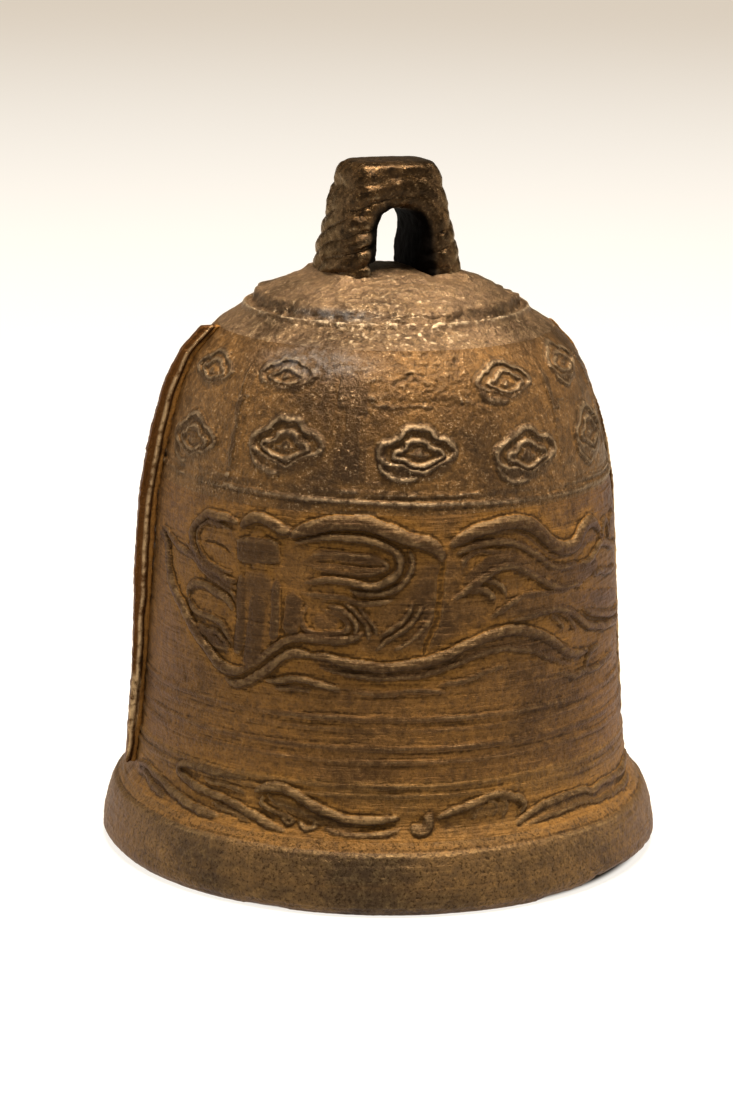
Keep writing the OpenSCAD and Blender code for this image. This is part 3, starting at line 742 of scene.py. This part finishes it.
def greyReflectionAt(angle, z):
    # a painted grey reflection left of the middle, on the shoulder and on the crown's step
    s = wearAndLightLook
    levels = [hump(z - level, width) for level, width in s["greyReflectionLevels"]]
    return hump(turnedFrom(angle, s["greyReflectionAt"]), s["greyReflectionWide"]) * np.maximum(*levels)


print("skin grid", skinPoints.shape)


def makeSkin(name, zone, halfTurn=None):
    # one zone of the bell's skin, closed behind; halfTurn 0 is the front, 1 the back
    first, last = bell["zones"][zone]
    if halfTurn is None:
        pick = np.arange(columns)
    else:
        pick = (np.arange(columns // 2 + 1) + halfTurn * columns // 2) % columns
    closed = halfTurn is None
    outer = skinPoints[pick, first:last + 1]
    backRows = np.unique(np.linspace(first, last, 5).round().astype(int))
    depth = groundRadius(rowHeights[backRows])[None, :] - bell["backing"]
    inner = onSurface(angleGrid[pick][:, backRows], skinZ[pick][:, backRows],
                      np.repeat(depth, len(pick), axis=0))
    outerIds = np.arange(outer.shape[0] * outer.shape[1]).reshape(outer.shape[:2])
    innerIds = outerIds.size + np.arange(inner.shape[0] * inner.shape[1]).reshape(inner.shape[:2])
    faces = [strip(outerIds[:, r], outerIds[:, r + 1], closed) for r in range(outer.shape[1] - 1)]
    faces += [strip(innerIds[:, r + 1], innerIds[:, r], closed) for r in range(inner.shape[1] - 1)]
    faces.append(strip(outerIds[:, -1], innerIds[:, -1], closed))
    faces.append(strip(innerIds[:, 0], outerIds[:, 0], closed))
    faces = [np.concatenate(faces)]
    if not closed:
        faces.append(np.concatenate([outerIds[0], innerIds[0, ::-1]])[::-1][None])
        faces.append(np.concatenate([outerIds[-1], innerIds[-1, ::-1]])[None])
    points = np.concatenate([outer.reshape(-1, 3), inner.reshape(-1, 3)])
    piece = makePiece(name, points, faces)
    rim = np.zeros(len(points), dtype=bool)
    rim[outerIds[:, 0]] = rim[outerIds[:, -1]] = True
    if not closed:
        rim[outerIds[0]] = rim[outerIds[-1]] = True
    creaseRim(piece, rim)
    greyReflection = greyReflectionAt(angleGrid, heightGrid)
    for mark, grid, behind in (("wear", wearAndLightGrid, 0.5), ("hollow", hollowGrid, 0),
                               ("raised", raisedGrid, 0), ("greyReflection", greyReflection, 0)):
        values = grid[pick, first:last + 1].ravel()
        addAttribute(piece, mark, np.concatenate([values, np.full(innerIds.size, behind)]))
    return piece


def makeBow():
    # the thick lip: the skin outside, the foot it stands on, and the flared inside
    first, last = bell["zones"]["bow"]
    outer = skinPoints[:, first:last + 1]
    top = rowHeights[last]
    insideZ = np.concatenate([np.linspace(top, 3, 14), [1.6, 0.7, 0.2]])
    radius = curveRadius(bell["inside"], insideZ)
    a, z = np.meshgrid(columnAngles, insideZ, indexing="ij")
    r = np.repeat(radius[None], columns, axis=0)
    r += 0.25 * roughness(onSurface(a, z, r).reshape(-1, 3), 7, 51).reshape(a.shape)
    z = z + chipLift(a, z) * (z < top)
    inner = onSurface(a, np.maximum(z, 0), r)
    a, r = np.meshgrid(columnAngles, bell["foot"], indexing="ij")
    foot = onSurface(a, chipLift(a, np.zeros_like(a)), r)
    loop = np.concatenate([outer, inner, foot], axis=1)
    count = loop.shape[1]
    ids = np.arange(columns * count).reshape(columns, count)
    faces = [strip(ids[:, r], ids[:, (r + 1) % count], True) for r in range(count)]
    piece = makePiece("soundBow", loop.reshape(-1, 3), [np.concatenate(faces)])
    rim = np.zeros(ids.size, dtype=bool)
    rim[ids[:, last - first]] = True
    creaseRim(piece, rim)
    # the lip carries the skin's wear with its painted highlight and painted shade
    wear, hollow = np.full(ids.shape, 0.5), np.zeros(ids.shape)
    wear[:, :last + 1] = wearAndLightGrid[:, :last + 1]
    hollow[:, :last + 1] = hollowGrid[:, :last + 1]
    addAttribute(piece, "wear", wear)
    addAttribute(piece, "hollow", hollow)
    return piece


wallLook = dict(
    columns=500, outRows=24, inRows=130,
    core=[(0.35, 9, 61), (0.2, 3, 62), (0.1, (6, 6, 1.1), 63)],
    inwardShare=0.3,               # bumps that stand inward stay low, clear of the bob
)


def makeWall():
    # the wall behind the skins; its inside shows the rough core it was cast round
    s = wallLook
    count = s["columns"]
    top, low = bell["wallTop"], rowHeights[bell["zones"]["bow"][1]]
    outZ = np.linspace(low, top, s["outRows"])
    inZ = np.linspace(top, low, s["inRows"])
    z = np.concatenate([outZ, inZ])
    r = np.concatenate([groundRadius(outZ) - bell["wallDepth"], curveRadius(bell["inside"], inZ)])
    angle = np.arange(count) * 360 / count - 90
    a, zz = np.meshgrid(angle, z, indexing="ij")
    rr = np.repeat(r[None], count, axis=0)
    place = onSurface(a, zz, rr).reshape(-1, 3)
    rough = layered(place, s["core"]).reshape(a.shape)
    rough[:, :len(outZ)] = 0
    rough = np.where(rough < 0, s["inwardShare"] * rough, rough)
    points = onSurface(a, zz, rr + rough)
    ids = np.arange(points.shape[0] * points.shape[1]).reshape(points.shape[:2])
    faces = [strip(ids[:, k], ids[:, (k + 1) % len(z)], True) for k in range(len(z))]
    piece = makePiece("bellWall", points.reshape(-1, 3), [np.concatenate(faces)])
    # painted shade in the core's dents, paler on its bumps
    addAttribute(piece, "wear", 0.5 - rough * 0.6)
    addAttribute(piece, "hollow", np.clip(0.3 + rough * 1.5, 0, 1))
    return piece


loopLook = dict(
    turn=8.0,                      # degrees it stands turned in the crown
    # the legs' twist: mm for each turn of a strand, strands, depth, and share at the sides
    pitch=5.0, starts=5, rope=1.5, sideRope=0.65,
    legAt=12.5, legLean=0.2, legFoot=158,
    # the folds over the window: depth, spacing, and the level they curve round
    arch=1.1, archPitch=5.0, archAt=175.0, topFrom=182,
    warp=[(1.2, 8, 81), (0.5, 3.2, 84)],
    grain=[(0.3, 4, 82), (0.12, 2, 87), (0.1, 1.0, 83)],
    swell=0.25, top=199.2, rounds=3,
    worn=(1.4, 20, 1.0),           # a coarse rounding first: face size, rounds, swell
    # half the window's width, its notch at the left foot and its bulge at the right
    window=10, notch=2.8, notchTop=171.5, bulge=1.3, bulgeTop=180,
    footLevel=170.0, sink=3.0,     # what lies below this level is sunk this much deeper
)


def loopFrame(points):
    # the points as seen square on to the loop: across, towards us, up
    turn = math.radians(loopLook["turn"])
    return (points[:, 0] * math.cos(turn) + points[:, 1] * math.sin(turn),
            points[:, 0] * math.sin(turn) - points[:, 1] * math.cos(turn), points[:, 2])


crownLook = dict(
    cell=0.42,                     # mm between rings of points on top
    edge=(47.3, 151.0),            # radius and height of the hidden lower edge
    stepR=36.6,                    # where the low ragged step is
    ragged=[(1.9, (12, 12, 90), 75), (1.5, (4, 4, 60), 76)],
    ceiling=[(0.4, 4, 77)],
    # the step is worn to this slope: where, how wide in degrees, how far, from, to
    worn=(-6, 33, 0.95), slope=((34.5, 162), (39.5, 157.3)),
    # and rounded off at the right: where, how wide, how far, radius, width in mm
    rounded=(85, 32, 1.1, 35.5, 2.6),
    rough=(-5, 45),                # the roughest place: where, how wide
    # lumps: height, height added at the roughest place, size, seed
    lumps=[(0.25, 0, 8, 71), (0.15, 0.35, (3.4, 3.4, 1.6), 72), (0.09, 0.17, 1.3, 73),
           (0.07, 0, 0.8, 74)],
    dark=(37.5, 0.7, 0.12),        # painted shade on the step's face: radius, width, how dark
    bright=(40.8, 0.4, 0.14),      # the raised line under it, made paler
    fillet=(19, 14, 3.5, 1.6),     # round the loop's feet: half sizes, width, height
)


def makeCrown():
    # the lid of the bell: a low cone, its ragged edge, and the ceiling inside
    s = crownLook
    count = columns // 2
    top = smoothPath(bell["crown"], s["cell"])[::-1]
    side = np.array([s["edge"]])
    under = smoothPath(bell["ceiling"], 2.0)
    profile = np.concatenate([top[1:], side, under[:-1]])
    angle = np.arange(count) * 360 / count - 90
    a, r = np.meshgrid(angle, profile[:, 0], indexing="ij")
    z = np.repeat(profile[None, :, 1], count, axis=0)
    place = onSurface(a, z, r).reshape(-1, 3)
    outside = np.arange(len(profile)) < len(top) - 1
    middle, spreadOut, share = s["worn"]
    worn = hump(turnedFrom(a, middle), spreadOut)
    (innerR, innerZ), (outerR, outerZ) = s["slope"]
    slopeZ = innerZ + (outerZ - innerZ) * (r - innerR) / (outerR - innerR)
    onSlope = (r > innerR) & (r < outerR) & outside
    z = np.where(onSlope, z + share * worn * (slopeZ - z), z)
    middle, spreadOut, depth, radius, width = s["rounded"]
    z = z - depth * hump(turnedFrom(a, middle), spreadOut) * hump(r - radius, width) * outside
    step = hump(profile[:, 0] - s["stepR"], 1.9)[None]
    middle, spreadOut = s["rough"]
    front = hump(turnedFrom(a, middle), spreadOut)
    rough = sum((height + more * front) * roughness(place, size, seed).reshape(a.shape)
                for height, more, size, seed in s["lumps"])
    # the skirt below the ragged step runs into the shoulder's skin
    r = r + layered(place, s["ragged"]).reshape(a.shape) * step * outside
    meet = hump(bell["crown"][0][0] - profile[:, 0], 1.2)[None] * outside
    r = r + meet * (skinRadius[::2, -1:] - groundRadius(bell["wallTop"]))
    rough = rough * (1 - meet)
    ceiling = layered(place, s["ceiling"]).reshape(a.shape)
    z = z + np.where(outside[None], rough, ceiling)
    points = onSurface(a, z, r).reshape(-1, 3)
    x, y, _ = loopFrame(points)
    halfX, halfY, width, rise = s["fillet"]
    gap = np.hypot(np.clip(np.abs(x) - halfX, 0, None), np.clip(np.abs(y) - halfY, 0, None))
    fillet = np.clip(1 - gap / width, 0, 1) ** 2 * np.clip((np.abs(x) - 9) / 3, 0, 1)
    points[:, 2] += rise * fillet * np.tile(outside, count)
    ids = np.arange(points.shape[0]).reshape(a.shape)
    faces = [strip(ids[:, k + 1], ids[:, k], True) for k in range(len(profile) - 1)]
    peak, pit = len(points), len(points) + 1
    turned = np.roll(ids, -1, axis=0)
    peakFan = np.stack([ids[:, 0], turned[:, 0], np.full(count, peak)], -1)
    pitFan = np.stack([turned[:, -1], ids[:, -1], np.full(count, pit)], -1)
    points = np.concatenate([points, [(0, 0, bell["crown"][-1][1]),
                                      (0, 0, bell["ceiling"][-1][1])]])
    piece = makePiece("crownSkin", points, [np.concatenate(faces), peakFan, pitFan])
    rim = np.zeros(len(points), dtype=bool)
    rim[ids[:, len(top) - 2]] = True
    creaseRim(piece, rim)
    across = profile[:, 0][None] + 0 * a
    faceR, faceWidth, faceShade = s["dark"]
    lineR, lineWidth, lineBright = s["bright"]
    # the lumps' tops rub pale and their pits get painted shade
    fine = 0.9 * (rough - softened(rough, 2))
    # painted shade on the step's face, except where the step is worn flat at the front
    fine = fine - faceShade * hump(across - faceR, faceWidth) * outside * (1 - worn)
    fine = fine + lineBright * hump(across - lineR, lineWidth) * outside
    addAttribute(piece, "wear", np.append(0.5 + fine, [0.5, 0.5]))
    addAttribute(piece, "hollow", np.append(np.clip(0.1 - rough * 0.5, 0, 1), [0, 0]))
    addAttribute(piece, "greyReflection", np.append(greyReflectionAt(a, z), [0, 0]))
    return piece


def readPoints(mesh, kind="co"):
    # positions in metres, or normals if kind says so
    values = np.zeros(len(mesh.vertices) * 3)
    mesh.vertices.foreach_get(kind, values)
    return values.reshape(-1, 3)


def writePoints(mesh, points):
    mesh.vertices.foreach_set("co", points.ravel())
    mesh.update()


def spread(values, ends, times):
    # averages values with their neighbours' along the edges
    count = len(values)
    share = np.maximum(np.bincount(ends.ravel(), minlength=count), 1)[:, None]
    table = values.reshape(count, -1)
    for _ in range(times):
        total = np.zeros_like(table)
        for k in range(table.shape[1]):
            total[:, k] += np.bincount(ends[:, 0], table[ends[:, 1], k], count)
            total[:, k] += np.bincount(ends[:, 1], table[ends[:, 0], k], count)
        table = 0.5 * table + 0.5 * total / share
    return table.reshape(values.shape)


def evenMesh(name, mesh, voxel):
    # the same closed shape in even faces, voxel mm across
    rough = bpy.data.objects.new(name, mesh)
    bpy.context.scene.collection.objects.link(rough)
    remesh = rough.modifiers.new("even", "REMESH")
    remesh.mode = "VOXEL"
    remesh.voxel_size = voxel * mm
    even = bpy.data.meshes.new_from_object(
        rough.evaluated_get(bpy.context.evaluated_depsgraph_get()))
    bpy.data.objects.remove(rough)
    return even


def packedMesh(node):
    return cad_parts[node].data.copy()


def wornLoopMesh():
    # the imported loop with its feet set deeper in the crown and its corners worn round
    s = loopLook
    mesh = packedMesh("suspension_loop")
    points = readPoints(mesh)
    points[points[:, 2] < s["footLevel"] * mm, 2] -= s["sink"] * mm
    writePoints(mesh, points)
    voxel, rounds, swell = s["worn"]
    mesh = evenMesh("ropeLoopCoarse", mesh, voxel)
    writePoints(mesh, spread(readPoints(mesh), meshEdges(mesh), rounds))
    writePoints(mesh, readPoints(mesh) + readPoints(mesh, "normal") * swell * mm)
    return mesh


def recast(name, mesh, voxel, relief, rounds=1, paint=None, topLevel=None):
    # makes a piece from a closed shape: even fine faces, corners softened in so many
    # rounds, and the surface moved out by relief(points, normals); points in mm.
    # paint(points, normals) sets marks; nothing grows past the top level
    mesh = evenMesh(name + "Even", mesh, voxel)
    mesh.name = name
    mesh.materials.clear()
    ends = meshEdges(mesh)
    smooth = spread(readPoints(mesh) / mm, ends, rounds)
    writePoints(mesh, smooth * mm)
    normals = readPoints(mesh, "normal")
    points = smooth + normals * relief(smooth, normals)[:, None]
    if topLevel:
        soft = 2.0
        over = np.clip(points[:, 2] - topLevel + soft, 0, None)
        points[:, 2] += soft * (1 - np.exp(-over / soft)) - over
    mesh.polygons.foreach_set("use_smooth", np.full(len(mesh.polygons), True))
    writePoints(mesh, points * mm)
    piece = bpy.data.objects.new(name, mesh)
    bpy.context.scene.collection.objects.link(piece)
    proud = np.einsum("ij,ij->i", points - spread(points, ends, 4), normals)
    proud = spread(proud, ends, 2)
    # wear: proud places rub pale, sunken places get painted shade
    marks = dict(wear=0.5 + 1.6 * proud, hollow=np.clip(-proud * 2.2 + 0.1, 0, 1))
    if paint:
        marks.update(paint(smooth, normals))
    for mark, values in marks.items():
        addAttribute(piece, mark, values)
    return piece


def loopRelief(points, normals):
    # two legs twisted like rope, and a top whose folds follow the window's arch
    s = loopLook
    x, y, z = loopFrame(points)
    warp = layered(points, s["warp"])
    leg = np.where(x < 0, -1, 1)
    across = np.abs(x) - s["legAt"] + s["legLean"] * (z - s["legFoot"])
    about = np.arctan2(y, leg * across)
    about = np.where(x < 0, math.pi - about, about)
    wave = (z + warp) / s["pitch"] + leg * s["starts"] * about / (2 * math.pi)
    rope = 1 - np.abs((wave % 1) * 2 - 1) ** 2
    away = np.hypot(x * 0.8, z - s["archAt"]) + warp
    arches = 1 - np.abs((away / s["archPitch"] % 1) * 2 - 1) ** 2
    onTop = np.clip((z - s["topFrom"]) / 4, 0, 1)
    outward = np.clip((np.abs(x) - 7.5) / 3, 0, 1)
    facing = s["sideRope"] + (1 - s["sideRope"]) * np.clip(np.abs(normals[:, 1]) * 1.5, 0, 1)
    strength = facing * (0.8 + 0.7 * roughness(points, 9, 85))
    strength = strength * np.where(x < 0, 1.0, 0.6)
    lift = (1 - onTop) * outward * s["rope"] * strength * (rope - 0.6)
    lift = lift + onTop * s["arch"] * strength * (arches - 0.6)
    # the window's left side is undercut at its foot and its right side bulges
    inner = np.clip((s["window"] + 1 - np.abs(x)) / 2, 0, 1) * np.clip(-leg * normals[:, 0], 0, 1)
    low = np.clip((s["notchTop"] - z) / 0.8, 0, 1)
    lift = lift - s["notch"] * inner * low * (x < 0)
    lift = lift + s["bulge"] * inner * np.clip((s["bulgeTop"] - z) / 8, 0, 1) * (x > 0)
    fade = np.clip((z - 163) / 5, 0.2, 1)
    return lift * fade + layered(points, s["grain"]) + s["swell"]


def loopPaint(points, normals):
    # the window's inner sides are made near black and matt
    x, _, z = loopFrame(points)
    inward = np.clip(-normals[:, 0] * np.sign(x) * 1.8, 0, 1)
    near = np.clip((loopLook["window"] + 2.5 - np.abs(x)) / 2, 0, 1)
    return dict(windowDark=inward * near)


finLook = dict(
    step=0.3, nibble=0.25,         # how unevenly its edge is broken, mm
    grain=[(0.1, 1.2, 93), (0.15, 4, 94)],
    # distances off the bell: earth up to here, then the flash, with their reliefs
    root=1.6, crevice=0.5, flashAt=2.7, flashWide=0.9, flash=0.6,
    smearFrom=31, smearTo=53,      # spilt metal covers the foot between these levels
)


def finProud(points):
    # how far a point of a fin stands off the bell's ground, mm
    proud = np.hypot(points[:, 0], points[:, 1]) - groundRadius(points[:, 2])
    return proud + 0.35 * roughness(points, 7, 99)


def finFlash(proud):
    # the thin line of metal that squeezed out along the fin
    return np.clip(1.3 - np.abs(proud - finLook["flashAt"]) / finLook["flashWide"], 0, 1)


def finRelief(points, normals):
    # broken off in steps along its edge, with a thin flash of metal on its front side
    s = finLook
    out = np.clip(np.abs(normals[:, 0]) * 1.4 - 0.3, 0, 1)
    steps = np.round(roughness(points * (0, 0, 1) + (3, 5, 0), 19, 91) * 2) / 2
    lift = out * (s["step"] * steps - 0.1 + s["nibble"] * roughness(points, (9, 9, 3), 92))
    proud = finProud(points)
    flash = finFlash(proud)
    crevice = np.clip(1 - np.abs(proud - s["root"]) / 0.5, 0, 1)
    smear = np.clip((s["smearTo"] - points[:, 2]) / 5, 0, 1)
    forward = np.clip(-normals[:, 1], 0, 1)
    lift = lift + forward * (s["flash"] * flash - s["crevice"] * crevice)
    lift = lift + forward * smear * 0.5 * np.clip(0.3 + roughness(points, (4, 4, 9), 98), 0, 1)
    return lift + layered(points, s["grain"])


def finPaint(points, normals):
    # earth along the root, a rubbed flash beside it, a dark red-brown outer edge, and painted
    # shade in the crevice at the root
    s = finLook
    proud = finProud(points)
    forward = np.clip(-normals[:, 1] * 2, 0, 1)
    smear = np.clip((s["smearTo"] - points[:, 2]) / 5, 0, 1) * np.clip(proud - 0.8, 0, 1)
    smear = smear * np.clip((points[:, 2] - s["smearFrom"]) / 3, 0, 1)
    pale = forward * np.maximum(finFlash(proud), smear)
    root = np.clip((s["root"] - proud) / 0.3, 0, 1)
    # the crevice along the root gets painted shade
    crevice = np.clip(1 - np.abs(proud - s["root"]) / 0.35, 0, 1) * (1 - smear)
    return dict(wear=0.5 + 0.2 * pale - 0.2 * crevice * forward, hollow=0.45 * root,
                raised=1 - root)


def forgedRelief(points, _):
    # hammered iron: broad flats and a fine rust
    return layered(points, [(0.16, 5, 95), (0.05, 1.4, 96), (0.03, 0.7, 97)]) - 0.18


pieces = {}


def keep(piece, body, slot, *nodes):
    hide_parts(*nodes)
    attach(piece, body)
    pieces[piece.name] = piece


for side, ending, halfTurn in (("Front", "front", 0), ("Back", "back", 1)):
    keep(makeSkin("shoulderSkin" + side, "shoulder", halfTurn), "bell", "upper_medallions",
         "upper_medallions", "lower_medallions", "panel_ribs", "shoulder_lines")
    keep(makeSkin("friezeSkin" + side, "frieze", halfTurn), "bell", "frieze_" + ending,
         "frieze_" + ending)
    keep(makeSkin("borderSkin" + side, "border", halfTurn), "bell", "cloud_border_" + ending,
         "cloud_border_" + ending, "border_lines")
keep(makeSkin("waistSkin", "waist"), "bell", "waist_lines_upper",
     "waist_lines_upper", "waist_lines_lower")
keep(makeBow(), "bell", "sound_bow", "sound_bow")
keep(makeWall(), "bell", "bell_wall", "bell_wall")
keep(makeCrown(), "bell", "crown_plate", "crown_plate", "crown_ring")
print("bell made")
keep(recast("ropeLoop", wornLoopMesh(), 0.4, loopRelief, loopLook["rounds"], loopPaint,
            loopLook["top"]), "bell", "suspension_loop", "suspension_loop")
for side in ("left", "right"):
    node = "seam_fin_" + side
    keep(recast("seamFin" + side.capitalize(), packedMesh(node), 0.35, finRelief,
                paint=finPaint), "bell", node, node)
for name, node, body, voxel in (("crownStaple", "crown_staple", "bell", 0.4),
                                ("hangerLink", "hanger_link", "link", 0.35),
                                ("clapperShank", "clapper_shank", "clapper", 0.4),
                                ("clapperBob", "clapper_bob", "clapper", 0.5),
                                ("bobWasher", "bob_washer", "clapper", 0.3)):
    keep(recast(name, packedMesh(node), voxel, forgedRelief), body, node, node)
print("loop, seams and clapper made")

mmPerMetre = 1000
# noise patterns: size in mm, detail, roughness
patterns = dict(cloudy=(34, 4, 0.55), mottle=(2.4, 5, 0.65), speck=(0.75, 3, 0.7),
                drawn=(9, 4, 0.6))
# coats from the metal out: colour, strength, where it lies as soft steps of a pattern
# or of a mark on the mesh, and the metallic and roughness it leaves, if it changes them
coats = [
    ("mid", "full", [("cloudy", 0.36, 0.62)], None),
    ("light", "mottled", [("mottle", 0.4, 0.75)], None),
    ("light", "drawn", [("drawn", 0.48, 0.72)], None),
    ("ochre", "film", [("cloudy", 0.32, 0.62), ("mottle", 0.2, 0.7), ("raised", 0.7, 0.1)],
     (0.15, 0.6)),
    ("ochre", "dust", [("hollow", 0.05, 0.75), ("raised", 0.85, 0.15), ("mottle", 0.2, 0.55)],
     (0.0, 0.8)),
    ("dark", "ridge", [("raised", 0.25, 0.8)], None),
    # painted shade where the wear mark is low: grooves, sunken places and downward slopes
    ("deep", "shade", [("wear", 0.47, 0.36)], None),
    ("deep", "specks", [("speck", 0.5, 0.34)], None),
    # rubbed crests, and painted highlight on upward slopes
    ("pale", "rubAndHighlight", [("wear", 0.55, 0.7), ("mottle", 0.3, 0.6)], (0.8, 0.34)),
    ("pale", "glint", [("speck", 0.55, 0.7), ("mottle", 0.45, 0.6)], (0.9, 0.28)),
    # painted reflection of the pale surroundings, in grey, on the upper left
    ("greyReflection", "reflectionGreyed", [("greyReflection", 0.1, 0.9), ("mottle", 0.38, 0.6)], (0.1, 0.55)),
    ("windowDark", "windowDarkened", [("windowDark", 0.0, 1.0)], (0.0, 1.0)),
]


def agedBronze(name, s):
    # sand-cast bronze under an old brown patina: dull and dark where it stands proud,
    # rubbed to a thin gleam on the crests, with dry ochre earth left in what lies deep
    # it also carries painted light: highlights on upward slopes, pale glints, shade in grooves and
    # on downward slopes, and a grey reflection
    material, tree = newMaterial(name)
    place = addNode(tree, "ShaderNodeTexCoord").outputs["Object"]
    drawnOut = addNode(tree, "ShaderNodeMapping", {"Vector": place, "Scale": (1, 1, 14)})
    source = {mark: addNode(tree, "ShaderNodeAttribute", attribute_name=mark).outputs["Fac"]
              for mark in ("wear", "hollow", "raised", "greyReflection", "windowDark")}
    for key, (size, detail, rough) in patterns.items():
        at = drawnOut.outputs[0] if key == "drawn" else place
        source[key] = addNode(tree, "ShaderNodeTexNoise",
                              {"Vector": at, "Scale": mmPerMetre / size, "Detail": detail,
                               "Roughness": rough}).outputs["Fac"]
    tone, metal, rough = linear(s["dark"]), s["metal"], s["rough"]
    for colour, strength, steps, surface in coats:
        if not s[strength]:
            continue
        amount = s[strength]
        for key, low, high in steps:
            step = addNode(tree, "ShaderNodeMapRange",
                           {"Value": source[key], "From Min": low, "From Max": high},
                           interpolation_type="SMOOTHSTEP")
            amount = addNode(tree, "ShaderNodeMath", {0: step.outputs[0], 1: amount},
                             operation="MULTIPLY").outputs[0]
        tone = addNode(tree, "ShaderNodeMix", {0: amount, 6: tone, 7: linear(s[colour])},
                       data_type="RGBA").outputs[2]
        if surface:
            metal = addNode(tree, "ShaderNodeMix", {0: amount, 2: metal, 3: surface[0]}).outputs[0]
            rough = addNode(tree, "ShaderNodeMix", {0: amount, 2: rough, 3: surface[1]}).outputs[0]
    sheen = linear(s["sheen"])
    if s["windowDarkened"]:
        sheen = addNode(tree, "ShaderNodeMix", {0: source["windowDark"], 6: sheen,
                                                7: linear(s["windowDark"])}, data_type="RGBA").outputs[2]
    bump = None
    for key, depth in (("speck", s["grit"]), ("mottle", s["pit"]), ("drawn", s["scratch"])):
        if depth:
            settings = {"Height": source[key], "Strength": 1.0, "Distance": depth * mm}
            if bump:
                settings["Normal"] = bump.outputs[0]
            bump = addNode(tree, "ShaderNodeBump", settings)
    skin = addNode(tree, "ShaderNodeBsdfPrincipled",
                   {"Base Color": tone, "Metallic": metal, "Roughness": rough,
                    "Specular Tint": sheen, "Normal": bump.outputs[0]})
    addNode(tree, "ShaderNodeOutputMaterial", {"Surface": skin.outputs[0]})
    return material


bronze = dict(dark="#38291b", mid="#4d3926", light="#6f5336", deep="#1a120b", ochre="#87602d",
              pale="#b0946a", greyReflection="#50555c", windowDark="#070504", sheen="#b98f60", full=1.0,
              mottled=0.45, drawn=0.5, film=0.55, dust=0.8, ridge=0.6, shade=0.7, specks=0.4,
              rubAndHighlight=0.2, glint=0.15, reflectionGreyed=0.0, windowDarkened=0.0, metal=0.45, rough=0.4,
              # depths of the surface's grain, mm
              grit=0.28, pit=0.35, scratch=0.5)
finishes = dict(
    sandCastBronze=dict(bronze),
    roughCastBronze=dict(bronze, drawn=0, scratch=0, film=0.5, dust=0.6, mid="#422f1c",
                         light="#62472b", pale="#c4ab88", glint=0.6, reflectionGreyed=0.5, metal=0.6,
                         rough=0.32, sheen="#f0d8b8", ridge=0.3, shade=0.6, specks=0.5,
                         rubAndHighlight=0.35, grit=0.4, pit=0.45),
    earthyBronze=dict(bronze, mid="#5a452b", light="#80633c"),
    lipBronze=dict(bronze, dark="#3a2f24", mid="#554532", light="#726042", film=0.3, drawn=0,
                   scratch=0, specks=0.8, rubAndHighlight=0.3),
    crownBronze=dict(bronze, mid="#665341", light="#8f7859", pale="#d6c0a0", film=0.2,
                     dust=0.4, rubAndHighlight=0.7, drawn=0, scratch=0, glint=0.7, reflectionGreyed=0.6, metal=0.6,
                     rough=0.34, grit=0.4, pit=0.8, sheen="#f0d8b8", shade=0.6),
    handledBronze=dict(bronze, dark="#17120d", mid="#241d17", light="#3a3028", film=0.25,
                       dust=0.5, metal=0.85, rough=0.2, pale="#dcc096", drawn=0, scratch=0,
                       glint=0.3, mottled=0.3, grit=0.2, pit=0.25, rubAndHighlight=0.6, ridge=0,
                       specks=0.6, sheen="#f0d8b8", windowDarkened=1.0),
    seamBronze=dict(bronze, dark="#43290f", mid="#633f20", light="#86592e", pale="#c2a67e",
                    rubAndHighlight=0.8, drawn=0, scratch=0),
    coreCastBronze=dict(bronze, dark="#2e2318", mid="#423222", light="#57432d", dust=0.6,
                        metal=0.3, rough=0.6, drawn=0.2, glint=0),
    forgedIron=dict(bronze, dark="#2a2521", mid="#3a312a", light="#523f2f", ochre="#74442a",
                    pale="#857d75", film=0.8, metal=0.5, rough=0.5, drawn=0, scratch=0))
made = {name: agedBronze(name, s) for name, s in finishes.items()}
wears = dict(shoulderSkinFront="roughCastBronze", shoulderSkinBack="roughCastBronze",
             borderSkinFront="earthyBronze", borderSkinBack="earthyBronze",
             soundBow="lipBronze", crownSkin="crownBronze", ropeLoop="handledBronze",
             seamFinLeft="seamBronze", seamFinRight="seamBronze", bellWall="coreCastBronze",
             crownStaple="forgedIron", hangerLink="forgedIron", clapperShank="forgedIron",
             clapperBob="forgedIron", bobWasher="forgedIron")
for name, piece in pieces.items():
    piece.data.materials.append(made[wears.get(name, "sandCastBronze")])
print("materials set on", len(pieces), "pieces")
